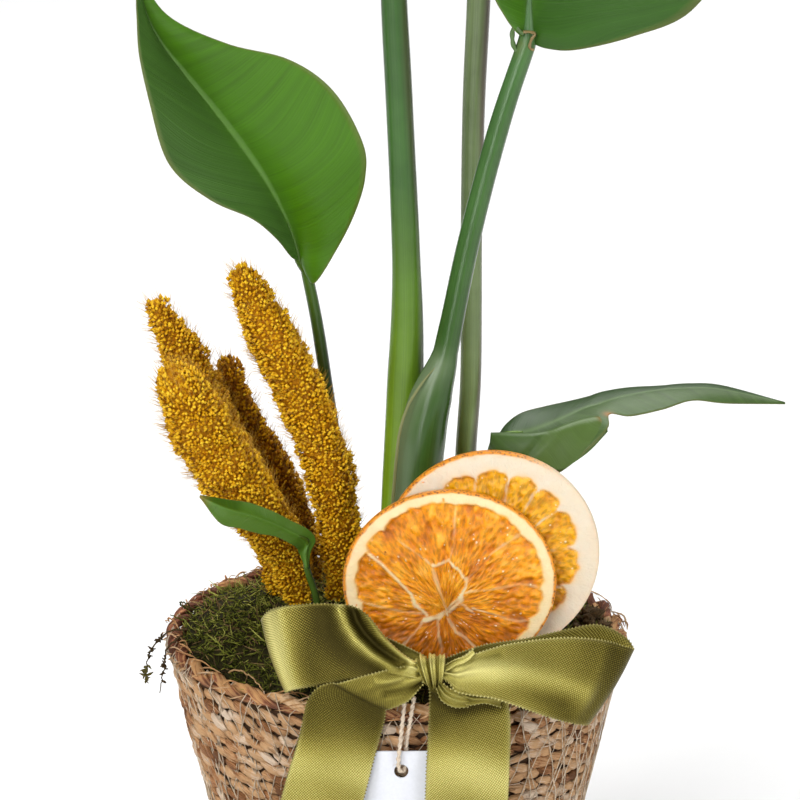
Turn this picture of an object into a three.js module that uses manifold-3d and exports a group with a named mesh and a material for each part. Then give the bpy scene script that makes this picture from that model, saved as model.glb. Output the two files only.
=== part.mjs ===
// A potted bird of paradise in a coiled basket, dressed with moss, four dried millet heads, two dried
// orange slices and a ribbon bow that carries a blank tag on a jute string.
// Millimetres, +Z up, front towards -Y. The origin is the middle of the basket's flat base.

import * as THREE from "three";
import { mergeVertices } from "three/addons/utils/BufferGeometryUtils.js";
import Module from "manifold-3d";

const wasm = await Module();
wasm.setup();

// Driving dimensions

const CLEARANCE = 0.3;

const BASKET_HEIGHT = 120;
const BASKET_BASE_RADIUS = 46;
const BASKET_RIM_RADIUS = 74;
const BASKET_WALL = 4;
const BASKET_FOOT_RADIUS = 41;
const COIL_ROWS = 30;
const COIL_RELIEF = 1.1;
const WALL_SEGMENTS = 30;
const ROUND_SEGMENTS = 36;
const RIM_CORD_RADIUS = 2.95;
const RIM_CORD_RELIEF = 0.2;
const RIM_CORD_TURNS = 16;

const POT_WALL = 1.3;
const POT_BASE_RADIUS = 40;
const POT_TOP_RADIUS = 56;
const POT_LIP_RADIUS = 60;
const POT_LIP_HEIGHT = 10;
const POT_TOP = 112;
const DRAIN_HOLE_RADIUS = 4;
const DRAIN_HOLE_CIRCLE = 24;

const SOIL_TOP = 103;
const CROWN_TOP = 97;
const MOSS_RADIUS = 67;
const MOSS_CENTRE_HEIGHT = 125;
const MOSS_EDGE_DROP = 5;
const MOSS_LUMP = 0.9;
const HEAD_HOLLOW = 2.4;

const BLADE_THICKNESS = 0.8;
const SLICE_THICKNESS = 5;
const RIBBON_THICKNESS = 0.8;

const TAG_WIDTH = 42;
const TAG_HEIGHT = 62;
const TAG_THICKNESS = 0.6;
const TAG_HOLE_RADIUS = 2.2;
const TAG_HOLE_DROP = 6.5;
const TWINE_RADIUS = 0.7;

const ROOT_SIDES = 5;
const STEM_SIDES = 8;
const STALK_SIDES = 6;

// Colours and finishes

const finish = (color, roughness) => new THREE.MeshStandardMaterial({ color, roughness, metalness: 0 });

const GRASS_CORD = finish(0xb08a5c, 0.85);
const POT_PLASTIC = finish(0x2a2724, 0.6);
const POTTING_SOIL = finish(0x33261b, 0.95);
const ROOT = finish(0xb59a6a, 0.8);
const MOSS_GREEN = finish(0x57632a, 0.95);
const STEM_GREEN = finish(0x3f7a35, 0.4);
const LEAF_GREEN = finish(0x3d8a2a, 0.4);
const MILLET_GOLD = finish(0xb9861b, 0.85);
const ORANGE_FLESH = finish(0xcf8a1e, 0.45);
const RIBBON_OLIVE = finish(0x7f7a26, 0.4);
const TAG_CARD = finish(0xf1f0f4, 0.8);
const JUTE = finish(0xa98f66, 0.9);

// Small tools for closed meshes

const part = new THREE.Group();

/** Adds one named mesh to the part. */
function add(name, geometry, material) {
  const mesh = new THREE.Mesh(geometry, material);
  mesh.name = name;
  part.add(mesh);
}

/** Repeatable random numbers from 0 to 1. */
function seeded(seed) {
  let state = seed >>> 0;
  return () => {
    state = (state + 0x6d2b79f5) >>> 0;
    let mixed = Math.imul(state ^ (state >>> 15), 1 | state);
    mixed = (mixed + Math.imul(mixed ^ (mixed >>> 7), 61 | mixed)) ^ mixed;
    return ((mixed ^ (mixed >>> 14)) >>> 0) / 4294967296;
  };
}

const vector = (point) => new THREE.Vector3(...point);
const smooth = (points, kind = "centripetal") => new THREE.CatmullRomCurve3(points.map(vector), false, kind);

/** Linear reading of evenly spaced values at a fraction from 0 to 1. */
function along(values, fraction) {
  const place = Math.min(Math.max(fraction, 0), 1) * (values.length - 1);
  const low = Math.min(Math.floor(place), values.length - 2);
  return THREE.MathUtils.lerp(values[low], values[low + 1], place - low);
}

function geometryFrom(points, triangles) {
  const geometry = new THREE.BufferGeometry();
  geometry.setAttribute("position", new THREE.Float32BufferAttribute(points.flat(), 3));
  geometry.setIndex(triangles.flat());
  return geometry;
}

/** A three.js geometry as a solid that can be joined and cut. */
function solid(geometry) {
  const bare = geometry.clone();
  bare.deleteAttribute("normal");
  bare.deleteAttribute("uv");
  const merged = mergeVertices(bare, 1e-4);
  const vertProperties = merged.attributes.position.array;
  const triVerts = new Uint32Array(merged.index.array);
  return new wasm.Manifold(new wasm.Mesh({ numProp: 3, vertProperties, triVerts }));
}

/** The solid's surface as a three.js geometry. */
function surface(made) {
  const mesh = made.getMesh();
  const geometry = new THREE.BufferGeometry();
  geometry.setAttribute("position", new THREE.BufferAttribute(mesh.vertProperties, 3));
  geometry.setIndex(new THREE.BufferAttribute(mesh.triVerts, 1));
  return geometry;
}

const joined = (geometries) => geometries.map(solid).reduce((whole, piece) => whole.add(piece));
const cutBy = (whole, geometries) => geometries.map(solid).reduce((left, tool) => left.subtract(tool), whole);

/** Rings of equal length skinned into a closed body, with flat ends. */
function skin(rings) {
  const count = rings[0].length;
  const triangles = [];
  for (let ring = 0; ring + 1 < rings.length; ring += 1) {
    for (let side = 0; side < count; side += 1) {
      const next = (side + 1) % count;
      const a = ring * count + side;
      const b = ring * count + next;
      triangles.push([a, b, b + count], [a, b + count, a + count]);
    }
  }
  const last = (rings.length - 1) * count;
  for (let side = 1; side + 1 < count; side += 1) {
    triangles.push([0, side + 1, side], [last, last + side, last + side + 1]);
  }
  return geometryFrom(rings.flat(), triangles);
}

/** A round stem along a smooth route: radii are spaced evenly from its foot to its end. */
function stem(route, { sides = STEM_SIDES, steps = 10, grow = 0 } = {}) {
  const line = smooth(route.points);
  const frames = line.computeFrenetFrames(steps);
  const rings = [];
  for (let step = 0; step <= steps; step += 1) {
    const centre = line.getPointAt(step / steps);
    const radius = along(route.radii, step / steps) + grow;
    const ring = [];
    for (let side = 0; side < sides; side += 1) {
      const angle = (side / sides) * 2 * Math.PI;
      const point = centre
        .clone()
        .addScaledVector(frames.normals[step], radius * Math.cos(angle))
        .addScaledVector(frames.binormals[step], radius * Math.sin(angle));
      ring.push(point.toArray());
    }
    rings.push(ring);
  }
  return skin(rings);
}

/** A profile of [radius, height] pairs turned about +Z. */
function turned(profile, segments) {
  const points = profile.map(([radius, height]) => new THREE.Vector2(radius, height));
  const geometry = new THREE.LatheGeometry(points, segments);
  geometry.rotateX(Math.PI / 2);
  return geometry;
}

// Basket and pot

/** The basket's outer radius at a height: a plain cone. */
function basketRadius(height) {
  return THREE.MathUtils.lerp(BASKET_BASE_RADIUS, BASKET_RIM_RADIUS, height / BASKET_HEIGHT);
}

const RIM_OUTER = RIM_CORD_RADIUS + RIM_CORD_RELIEF;
const BASKET_WALL_TOP = BASKET_HEIGHT - 2 * RIM_OUTER - CLEARANCE;

/** Coiled wall and base: each sewn row of grass cord shows as a ridge. */
function basketWall() {
  const profile = [[0, 0], [BASKET_FOOT_RADIUS, 0]];
  const rowHeight = BASKET_WALL_TOP / COIL_ROWS;
  for (let row = 0; row < COIL_ROWS; row += 1) {
    const crest = (row + 0.5) * rowHeight;
    const groove = (row + 1) * rowHeight;
    profile.push([basketRadius(crest) - 0.1, crest]);
    profile.push([basketRadius(groove) - COIL_RELIEF, groove]);
  }
  for (const height of [BASKET_WALL_TOP, BASKET_HEIGHT / 2, BASKET_WALL]) {
    profile.push([basketRadius(height) - BASKET_WALL, height]);
  }
  profile.push([0, BASKET_WALL]);
  return turned(profile, WALL_SEGMENTS);
}

/** Thick two-strand cord sewn round the top of the wall. */
function basketRim() {
  const steps = 48;
  const sides = 6;
  const ringRadius = BASKET_RIM_RADIUS - RIM_OUTER;
  const height = BASKET_HEIGHT - RIM_OUTER;
  const points = [];
  const triangles = [];
  for (let step = 0; step < steps; step += 1) {
    const turn = (step / steps) * 2 * Math.PI;
    for (let side = 0; side < sides; side += 1) {
      const angle = (side / sides) * 2 * Math.PI;
      const radius = RIM_CORD_RADIUS + RIM_CORD_RELIEF * Math.cos(2 * angle - RIM_CORD_TURNS * turn);
      const out = ringRadius + radius * Math.cos(angle);
      points.push([out * Math.cos(turn), out * Math.sin(turn), height + radius * Math.sin(angle)]);
      const a = step * sides + side;
      const b = step * sides + ((side + 1) % sides);
      const c = (((step + 1) % steps) * sides) + side;
      const d = (((step + 1) % steps) * sides) + ((side + 1) % sides);
      triangles.push([a, c, d], [a, d, b]);
    }
  }
  return geometryFrom(points, triangles);
}

const POT_FLOOR = BASKET_WALL + CLEARANCE;
const POT_LEDGE = POT_TOP - POT_LIP_HEIGHT;

/** Outer radius of the pot below its lip. */
function potRadius(height) {
  const rise = (height - POT_FLOOR) / (POT_LEDGE - POT_FLOOR);
  return THREE.MathUtils.lerp(POT_BASE_RADIUS, POT_TOP_RADIUS, rise);
}

/** Thin plastic grow pot with a stepped lip and four drain holes. */
function growPot() {
  const inside = POT_FLOOR + POT_WALL;
  const profile = [
    [0, POT_FLOOR],
    [POT_BASE_RADIUS, POT_FLOOR],
    [POT_TOP_RADIUS, POT_LEDGE],
    [POT_LIP_RADIUS, POT_LEDGE],
    [POT_LIP_RADIUS, POT_TOP],
    [POT_LIP_RADIUS - POT_WALL, POT_TOP],
    [POT_LIP_RADIUS - POT_WALL, POT_LEDGE + POT_WALL],
    [POT_TOP_RADIUS - POT_WALL, POT_LEDGE + POT_WALL],
    [potRadius(inside) - POT_WALL, inside],
    [0, inside],
  ];
  const holes = [];
  for (let hole = 0; hole < 4; hole += 1) {
    const angle = ((hole + 0.5) / 4) * 2 * Math.PI;
    const drill = new THREE.CylinderGeometry(DRAIN_HOLE_RADIUS, DRAIN_HOLE_RADIUS, 4 * POT_WALL, 8);
    drill.rotateX(Math.PI / 2);
    drill.translate(DRAIN_HOLE_CIRCLE * Math.cos(angle), DRAIN_HOLE_CIRCLE * Math.sin(angle), POT_FLOOR);
    holes.push(drill);
  }
  return surface(cutBy(solid(turned(profile, ROUND_SEGMENTS)), holes));
}

// Stems: each route starts on the crown, and its radii run from foot to leaf

const FOOT = CROWN_TOP + CLEARANCE;

const STEMS = {
  stem_tall_left: {
    points: [[0, 9, FOOT], [0, 9, 123], [1, 9, 154], [2.5, 9, 192.5], [3.3, 10, 225], [0.8, 10, 290],
      [-0.8, 10, 321.5], [-1.8, 11, 358.5], [-3.5, 12.5, 409.5]],
    radii: [5.6, 6.1, 6.1, 5.75, 4.5, 4.25, 4.2, 3.9, 3.6, 3.3],
    steps: 14,
  },
  stem_tall_back: {
    points: [[21, 27, FOOT], [21, 27, 119], [22.3, 28, 169], [23.7, 28.5, 192], [23.9, 29, 218],
      [23.8, 29.3, 242], [24.4, 30, 285], [25.7, 30, 317], [27, 32, 373.5], [28, 33, 395]],
    radii: [3.6, 3.5, 3.4, 3.4, 3.4, 3.5, 3.65, 3.75, 3.5, 3.1],
    steps: 12,
  },
  stem_right: {
    points: [[4.4, -1, FOOT], [4.5, -1, 127], [6.6, -1, 168], [7.5, -1, 180], [9.2, -0.6, 190],
      [11.6, 0, 199], [14.6, 0.8, 207.5], [16.8, 1.8, 217.7], [22.7, 5.3, 246], [32.6, 11, 283.2],
      [40.4, 15.4, 306.2]],
    radii: [7, 7.1, 7.2, 7.3, 7.4, 7.6, 7.6, 6.6, 3.95, 3.65, 3.55, 3.45, 3.35, 3.3, 3.1, 3],
    steps: 18,
  },
  stem_left: {
    points: [[-14.5, 31, FOOT], [-14.5, 31, 117.5], [-16.8, 31, 152], [-19.9, 30, 172.5], [-22.3, 29, 190],
      [-25.7, 27.6, 214], [-28.8, 26, 230.8]],
    radii: [1.9, 1.9, 1.9, 2, 2, 1.8],
    steps: 8,
  },
  stem_low_right: {
    points: [[22.5, 12, FOOT], [22.5, 12, 122], [26, 13, 152], [29.5, 14, 169], [31.6, 14, 177.3]],
    radii: [2.3, 2.1, 2, 1.7],
    steps: 6,
  },
  stem_small_front: {
    points: [[-24.5, -6, FOOT], [-24.5, -6, 122], [-25.6, -6, 131.6], [-28.3, -6, 141], [-28.8, -6.1, 146.2]],
    radii: [1.3, 1.2, 1.1, 1.1],
    steps: 6,
  },
};

const stemOf = (name, grow = 0) => stem(STEMS[name], { steps: STEMS[name].steps, grow });

// Millet heads: each has a stalk in the soil, then an axis covered with seed clusters

const STALK_FOOT = 88;

const MILLET = {
  millet_head_front: {
    stalk: [[-30, 15, STALK_FOOT], [-30, 15, 112], [-31, 14, 123.5]],
    axis: [[-31, 14, 122], [-35, 10, 140.5], [-49, 2, 165], [-61.3, -4, 186.5], [-67, -7.5, 200]],
    radii: [3, 5.4, 7.6, 9.4, 10.4, 10.8, 10.4, 8.4],
    seed: 11,
  },
  millet_head_left: {
    stalk: [[-37.5, 27, STALK_FOOT], [-37.5, 27, 112], [-37.8, 26, 122]],
    axis: [[-37.8, 26, 121], [-40.4, 25, 140.2], [-45.7, 24, 152.5], [-51, 22.5, 165], [-56.6, 20.5, 176.6],
      [-61.8, 18, 189.8], [-66.6, 15, 203.3], [-70.5, 13, 212], [-75, 10.5, 221.5]],
    radii: [2.5, 5, 6.4, 7.6, 8, 8.2, 8, 7.4, 5.6, 3.2],
    seed: 12,
  },
  millet_head_back: {
    stalk: [[-26.5, 42, STALK_FOOT], [-26.5, 42, 110], [-27, 41, 118]],
    axis: [[-27, 41, 117], [-31, 39.5, 135.3], [-35.4, 38, 150.3], [-41.8, 36, 163.9], [-46.6, 35, 173],
      [-50.6, 33.5, 182], [-52.7, 32, 190.6], [-53.9, 31.2, 196]],
    radii: [2.5, 4.6, 5.6, 5.8, 5.8, 5.6, 4.8, 3.2],
    seed: 13,
  },
  millet_head_right: {
    stalk: [[-19, 18, STALK_FOOT], [-19, 18, 112], [-19, 18, 122]],
    axis: [[-19, 18, 121], [-18, 14, 142.5], [-19.5, 11, 158.5], [-23.5, 8, 176], [-29.8, 5, 194],
      [-37.2, 2, 211], [-42.6, 0, 224], [-47.4, -1.5, 234]],
    radii: [2.5, 6, 7, 7.6, 8, 8.1, 7.7, 4.2],
    seed: 14,
  },
};

const stalkOf = (name, grow = 0) =>
  stem({ points: MILLET[name].stalk, radii: [1.4, 1.4] }, { sides: STALK_SIDES, steps: 3, grow });

/**
 * A seed head: a grid wound round the axis, each cell raised to a point at its middle, so that
 * staggered clusters cover it all over and stand out at the tip as well.
 */
function milletHead({ axis, radii, seed }) {
  const around = 9;
  const rows = 15;
  const random = seeded(seed);
  const line = smooth(axis);
  const frames = line.computeFrenetFrames(rows);
  const points = [];
  const triangles = [];
  const place = (at, angle, radius) => {
    const step = Math.min(Math.round(at), rows);
    const point = line.getPointAt(Math.min(at / rows, 1));
    point.addScaledVector(frames.normals[step], radius * Math.cos(angle));
    point.addScaledVector(frames.binormals[step], radius * Math.sin(angle));
    return point.toArray();
  };
  const rowAngle = (row, side) => ((side + 0.38 * row) / around) * 2 * Math.PI;
  for (let row = 0; row <= rows; row += 1) {
    for (let side = 0; side < around; side += 1) {
      points.push(place(row, rowAngle(row, side), along(radii, row / rows) * 0.76));
    }
  }
  for (let row = 0; row < rows; row += 1) {
    for (let side = 0; side < around; side += 1) {
      const next = (side + 1) % around;
      const [below, above] = [row * around, (row + 1) * around];
      const corners = [below + side, below + next, above + next, above + side];
      const tall = along(radii, (row + 0.5) / rows) * (0.97 + 0.07 * random());
      const middle = points.push(place(row + 0.5, rowAngle(row + 0.5, side + 0.5), tall)) - 1;
      corners.forEach((corner, index) => triangles.push([corner, corners[(index + 1) % 4], middle]));
    }
  }
  const foot = points.push(line.getPointAt(0).toArray()) - 1;
  const end = line.getPointAt(1).addScaledVector(line.getTangentAt(1), along(radii, 1) * 0.55);
  const tip = points.push(end.toArray()) - 1;
  for (let side = 0; side < around; side += 1) {
    const next = (side + 1) % around;
    triangles.push([foot, next, side], [tip, rows * around + side, rows * around + next]);
  }
  return geometryFrom(points, triangles);
}

// Orange slices

const SLICES = {
  orange_slice_front: { centre: [16.5, -36.5, 147.5], half: [32.8, 28.8], lean: 0.13, turn: 0.2 },
  orange_slice_back: { centre: [29.5, -29.5, 154.7], half: [33.3, 32], lean: 0.13, turn: 0.5 },
};

/** Turns a slice that is modelled flat about Z upright, leans it back and sets it in its place. */
function seatSlice(geometry, { centre, lean }) {
  geometry.rotateX(Math.PI / 2 - lean);
  geometry.translate(...centre);
  return geometry;
}

/** An oval slice whose ten pulp segments lie below the walls between them, the core and the pith. */
function orangeSlice(slice) {
  const segments = 10;
  const around = 3 * segments;
  const sunk = 0.7;
  const bands = [
    { share: 0.12, pulp: 0 },
    { share: 0.22, pulp: 1 },
    { share: 0.74, pulp: 1 },
    { share: 0.84, pulp: 0 },
    { share: 0.97, pulp: 0 },
  ];
  const points = [];
  const triangles = [];
  const half = SLICE_THICKNESS / 2;
  const layer = (share, height) => {
    const start = points.length;
    for (let step = 0; step < around; step += 1) {
      const angle = (step / around) * 2 * Math.PI + slice.turn;
      const [wide, tall] = slice.half;
      points.push([wide * share * Math.cos(angle), tall * share * Math.sin(angle), height(step)]);
    }
    return start;
  };
  const between = (low, high) => {
    for (let step = 0; step < around; step += 1) {
      const next = (step + 1) % around;
      triangles.push([low + step, low + next, high + next], [low + step, high + next, high + step]);
    }
  };
  const face = (side) => {
    const middle = points.push([0, 0, side * half]) - 1;
    const rings = bands.map(({ share, pulp }) =>
      layer(share, (step) => side * (half - (pulp && step % 3 !== 0 ? sunk : 0))));
    for (let step = 0; step < around; step += 1) {
      const next = (step + 1) % around;
      const fan = [middle, rings[0] + step, rings[0] + next];
      triangles.push(side > 0 ? fan : fan.reverse());
    }
    for (let ring = 0; ring + 1 < rings.length; ring += 1) {
      if (side > 0) between(rings[ring + 1], rings[ring]);
      else between(rings[ring], rings[ring + 1]);
    }
    return rings.at(-1);
  };
  const front = face(1);
  const back = face(-1);
  const rind = layer(1, () => 0);
  between(back, rind);
  between(rind, front);
  return seatSlice(geometryFrom(points, triangles), slice);
}

/** A plain disc a little larger than a slice: the groove it stands in. */
function sliceGroove(slice) {
  const disc = new THREE.CylinderGeometry(1, 1, SLICE_THICKNESS + 2 * CLEARANCE, 24);
  disc.rotateX(Math.PI / 2);
  disc.scale(slice.half[0] + 2 * CLEARANCE, slice.half[1] + 2 * CLEARANCE, 1);
  return seatSlice(disc, slice);
}

// Crown, soil and moss

/** Thick rootstock: a stump with a branch up to each stem's foot, and four fleshy roots. */
function rootCrown(grow = 0) {
  const top = CROWN_TOP + grow;
  const heart = [0, 9, 80];
  const stump = { points: [[0, 9, top], [0, 9, 76], [1, 9, 58]], radii: [8, 6.5, 3] };
  const pieces = [stem(stump, { steps: 2, grow })];
  for (const [name, { points, radii }] of Object.entries(STEMS)) {
    if (name === "stem_tall_left") continue;
    const [x, y] = points[0];
    const branch = [heart, [x * 0.6, 9 + (y - 9) * 0.6, 84], [x, y, 91], [x, y, top]];
    pieces.push(stem({ points: branch, radii: [4, radii[0] + 1] }, { sides: ROOT_SIDES, steps: 3, grow }));
  }
  for (let root = 0; root < 4; root += 1) {
    const angle = (root / 4) * 2 * Math.PI + 0.5;
    const reach = (distance, height) => [distance * Math.cos(angle), 9 + distance * Math.sin(angle), height];
    const route = [[0, 9, 74], reach(12, 62), reach(20, 42), reach(22, 20 - grow)];
    pieces.push(stem({ points: route, radii: [3, 2.4, 1.6] }, { sides: ROOT_SIDES, steps: 3, grow }));
  }
  return joined(pieces);
}

const stemHoles = () => [
  ...Object.keys(STEMS).map((name) => stemOf(name, CLEARANCE)),
  ...Object.keys(MILLET).map((name) => stalkOf(name, CLEARANCE)),
];

/** Potting soil that fills the pot up to its ledge, with room for the crown, stems and stalks. */
function soil() {
  const low = POT_FLOOR + POT_WALL + CLEARANCE;
  const inner = (height) => potRadius(height) - POT_WALL - CLEARANCE;
  const profile = [[0, low], [inner(low), low], [inner(SOIL_TOP), SOIL_TOP], [0, SOIL_TOP]];
  const fill = solid(turned(profile, ROUND_SEGMENTS));
  return surface(cutBy(fill, stemHoles()).subtract(rootCrown(CLEARANCE)));
}

/** Height of the moss: highest in the middle, lower at the rim, in low lumps. */
function mossHeight(radius, angle) {
  const share = radius / MOSS_RADIUS;
  const lumps = Math.sin(3 * angle + 0.6 + 4 * share) + 0.8 * Math.sin(7 * angle - 5 * share);
  return MOSS_CENTRE_HEIGHT - MOSS_EDGE_DROP * share ** 3 + MOSS_LUMP * lumps * share;
}

/** A cushion of moss on the soil and the pot's lip, with holes for all that stands in it. */
function moss() {
  const around = 24;
  const plugRadius = POT_LIP_RADIUS - POT_WALL - CLEARANCE;
  const plugFoot = POT_LEDGE + POT_WALL + CLEARANCE;
  const lipTop = POT_TOP + CLEARANCE;
  const rings = [
    { radius: plugRadius, height: () => plugFoot },
    { radius: plugRadius, height: () => lipTop },
    { radius: MOSS_RADIUS - 0.5, height: () => lipTop },
  ];
  for (const radius of [MOSS_RADIUS, 62, 50, 36, 20, 6]) {
    const lower = radius === MOSS_RADIUS ? 2 : 0;
    rings.push({ radius, height: (angle) => mossHeight(radius, angle) - lower });
  }
  const points = rings.map(({ radius, height }) =>
    Array.from({ length: around }, (_, step) => {
      const angle = (step / around) * 2 * Math.PI;
      return [radius * Math.cos(angle), radius * Math.sin(angle), height(angle)];
    }));
  const grooves = Object.values(SLICES).map(sliceGroove);
  const hollows = Object.values(MILLET).map(({ axis: [[x, y, z]], radii: [radius] }) => {
    const above = [[x, y, z - 2], [x, y, z + 12]];
    return stem({ points: above, radii: [radius, radius] }, { steps: 1, grow: HEAD_HOLLOW });
  });
  return surface(cutBy(solid(skin(points)), [...stemHoles(), ...grooves, ...hollows]));
}

// Leaf blades: each row of a table is one section, as left margin, midrib and right margin

const BLADES = {
  leaf_tall_left: {
    sections: [
      [[-4.4, 12.4, 410.2], [-4, 12.5, 410.2], [-3.6, 12.4, 410.2]],
      [[-24, 2, 419], [-5.5, 13, 421], [16, 5, 417]],
      [[-47, -6, 442], [-9, 15, 443], [36, 2, 440]],
      [[-61, -9, 476], [-16.5, 18, 476], [40.5, 3, 477]],
      [[-69, -4, 514], [-27, 22, 512], [31, 12, 520]],
      [[-74, 6, 548], [-40, 27, 546], [9, 23, 556]],
      [[-75, 20, 574], [-53, 32, 573], [-22, 32, 581]],
      [[-68, 36.5, 592], [-67.5, 37, 592.5], [-67, 37, 593]],
    ],
    rib: 2.4,
  },
  leaf_tall_back: {
    sections: [
      [[27.6, 33, 395.6], [28, 33.2, 395.6], [28.4, 33, 395.6]],
      [[13, 37, 403], [29, 34, 405], [46, 25, 401]],
      [[1, 44, 428], [32, 36, 426], [72, 18, 415]],
      [[3, 52, 463], [39, 39, 455], [91, 20, 445]],
      [[19, 60, 500], [50, 44, 486], [101, 29, 480]],
      [[43, 65, 531], [64.5, 51, 519], [104, 42, 514]],
      [[69, 68, 551], [81, 59, 545], [102, 54, 542]],
      [[95.5, 66, 561], [96, 66, 561.5], [96.5, 66, 561]],
    ],
    rib: 2,
  },
  leaf_right: {
    sections: [
      [[40.4, 15.4, 307.2], [40.8, 15.6, 307.2], [41.2, 15.4, 307]],
      [[36.5, 12, 311.5], [41, 15.9, 311.5], [47, 12, 305.6]],
      [[33, 8, 317], [41, 16.2, 316.5], [56, 7, 306.4]],
      [[29, 3, 325], [41.4, 16.5, 324], [73, 1, 312]],
      [[23, -5, 343], [43.5, 15.5, 340], [90, -4, 320.8]],
      [[17, -11, 370], [48, 12.5, 365], [102, -9, 341]],
      [[19, -14, 402], [56, 7, 395], [109, -13, 372]],
      [[35, -14, 431], [67, 2, 424], [110, -15, 408]],
      [[60, -11, 452], [80, -3, 447], [104, -13, 437]],
      [[94, -8, 464], [94.5, -8, 464.5], [95, -8, 464]],
    ],
    rib: 2.2,
  },
  leaf_left: {
    sections: [
      [[-30.4, 24.8, 233.6], [-29.9, 25, 233.2], [-29.2, 24.4, 232.4]],
      [[-33.4, 20.5, 236.4], [-31, 24, 237], [-26.2, 20, 227.8]],
      [[-37.8, 14, 243.8], [-32.8, 22.6, 243], [-19.4, 18, 238.6]],
      [[-45, 5, 252.6], [-36, 20.8, 251], [-13.4, 14.5, 251.5]],
      [[-57.6, -3, 261.1], [-41.2, 18.3, 262], [-9.8, 11, 264.5]],
      [[-69.7, -9, 274], [-48.2, 16, 273.4], [-10.4, 9, 276.5]],
      [[-75.6, -11, 293.5], [-56.4, 13.4, 285], [-19.4, 8, 293]],
      [[-78.7, -9.5, 307.5], [-66.2, 9.8, 298.5], [-33.2, 6.4, 303.2]],
      [[-79.2, -5, 319], [-73.6, 6, 310], [-52, 5.4, 308.6]],
      [[-79.5, -1.5, 325], [-77.4, 3.8, 320], [-70, 4.2, 317.6]],
      [[-79.5, 2.6, 331], [-79.3, 2.7, 331.2], [-79.1, 2.6, 331]],
    ],
    rib: 1.2,
  },
  leaf_low_right: {
    sections: [
      [[32.2, 14.4, 178.6], [32.4, 14, 178.4], [32.4, 13.6, 178]],
      [[35, 20, 181], [36.5, 13.5, 180], [35, 8, 174.5]],
      [[40, 24, 183.5], [41.5, 14, 180.5], [41, 3, 169]],
      [[48, 28, 184.5], [47.5, 16, 182], [50.5, 1, 170.5]],
      [[55, 30, 185.5], [53.5, 18, 184], [60.5, 3, 178]],
      [[61.5, 31, 187], [60, 21, 186], [67, 7, 184]],
      [[66.5, 32, 188.5], [65, 22.5, 187], [68, 15, 186]],
      [[75, 33.5, 189.5], [71, 24.5, 188.5], [74.5, 14, 185.5]],
      [[85, 35, 189.5], [81, 28, 189.5], [85, 18, 186.5]],
      [[95, 37, 189.5], [92, 31.5, 189.5], [95, 25, 187.5]],
      [[106, 39.5, 188], [104.5, 35.5, 188], [106.5, 30, 185]],
      [[126, 40.4, 182.2], [126, 40, 182], [126, 39.6, 181.8]],
    ],
    rib: 1,
  },
  leaf_small_front: {
    sections: [
      [[-28.5, -6, 147.4], [-28.8, -6.2, 147.3], [-29.1, -6.5, 147.1]],
      [[-25.6, -6.2, 150.9], [-28, -7, 150.5], [-29.7, -9, 148.2]],
      [[-27.8, -7, 154.6], [-30.8, -8.8, 153], [-33.6, -10.8, 151.2]],
      [[-33, -8.5, 158], [-35.2, -10.5, 155.9], [-38, -13, 154.2]],
      [[-38.8, -11, 162], [-39.8, -13, 159], [-43.2, -16.5, 156.4]],
      [[-46, -14.5, 166], [-46.5, -17.5, 163], [-49, -20.5, 159.5]],
      [[-53, -19, 168.6], [-53.5, -22, 166.6], [-55, -24.5, 162.6]],
      [[-61, -24.6, 171.9], [-61.2, -25, 171.5], [-61, -25.4, 171.1]],
    ],
    rib: 0.5,
  },
};

/**
 * A leaf blade: three smooth lines, through the left margins, the midribs and the right margins, skinned
 * into a thin closed sheet. The front and back faces share their points' pattern, and a rib thickens the
 * back along the middle, most at the foot.
 */
function blade({ sections, rib }) {
  const rows = (sections.length - 1) * 2;
  const columns = 6;
  const lines = [0, 1, 2].map((line) => smooth(sections.map((section) => section[line]), "catmullrom"));
  const grid = [];
  for (let row = 0; row <= rows; row += 1) {
    const [left, middle, right] = lines.map((line) => line.getPoint(row / rows));
    for (let column = 0; column <= columns; column += 1) {
      const across = (column / columns) * 2 - 1;
      grid.push(middle.clone().lerp(across < 0 ? left : right, Math.abs(across)));
    }
  }
  const width = columns + 1;
  const at = (row, column) =>
    grid[THREE.MathUtils.clamp(row, 0, rows) * width + THREE.MathUtils.clamp(column, 0, columns)];
  const front = [];
  const back = [];
  for (let row = 0; row <= rows; row += 1) {
    for (let column = 0; column <= columns; column += 1) {
      const up = at(row + 1, column).clone().sub(at(row - 1, column));
      const side = at(row, column + 1).clone().sub(at(row, column - 1));
      const normal = side.cross(up).normalize();
      const ribHere = column === columns / 2 ? rib * (1 - row / rows) : 0;
      front.push(at(row, column).clone().addScaledVector(normal, BLADE_THICKNESS / 2).toArray());
      back.push(at(row, column).clone().addScaledVector(normal, -BLADE_THICKNESS / 2 - ribHere).toArray());
    }
  }
  const offset = front.length;
  const triangles = [];
  for (let row = 0; row < rows; row += 1) {
    for (let column = 0; column < columns; column += 1) {
      const a = row * width + column;
      const [b, c, d] = [a + 1, a + width + 1, a + width];
      triangles.push([a, b, c], [a, c, d]);
      triangles.push([a + offset, c + offset, b + offset], [a + offset, d + offset, c + offset]);
    }
  }
  const rim = [];
  for (let column = 0; column < columns; column += 1) rim.push(column);
  for (let row = 0; row < rows; row += 1) rim.push(row * width + columns);
  for (let column = columns; column > 0; column -= 1) rim.push(rows * width + column);
  for (let row = rows; row > 0; row -= 1) rim.push(row * width);
  rim.forEach((low, index) => {
    const next = rim[(index + 1) % rim.length];
    triangles.push([low, low + offset, next + offset], [low, next + offset, next]);
  });
  return geometryFrom([...front, ...back], triangles);
}

// Ribbon bow: strips between an upper and a lower edge line, and a knot, in one length of ribbon

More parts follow.
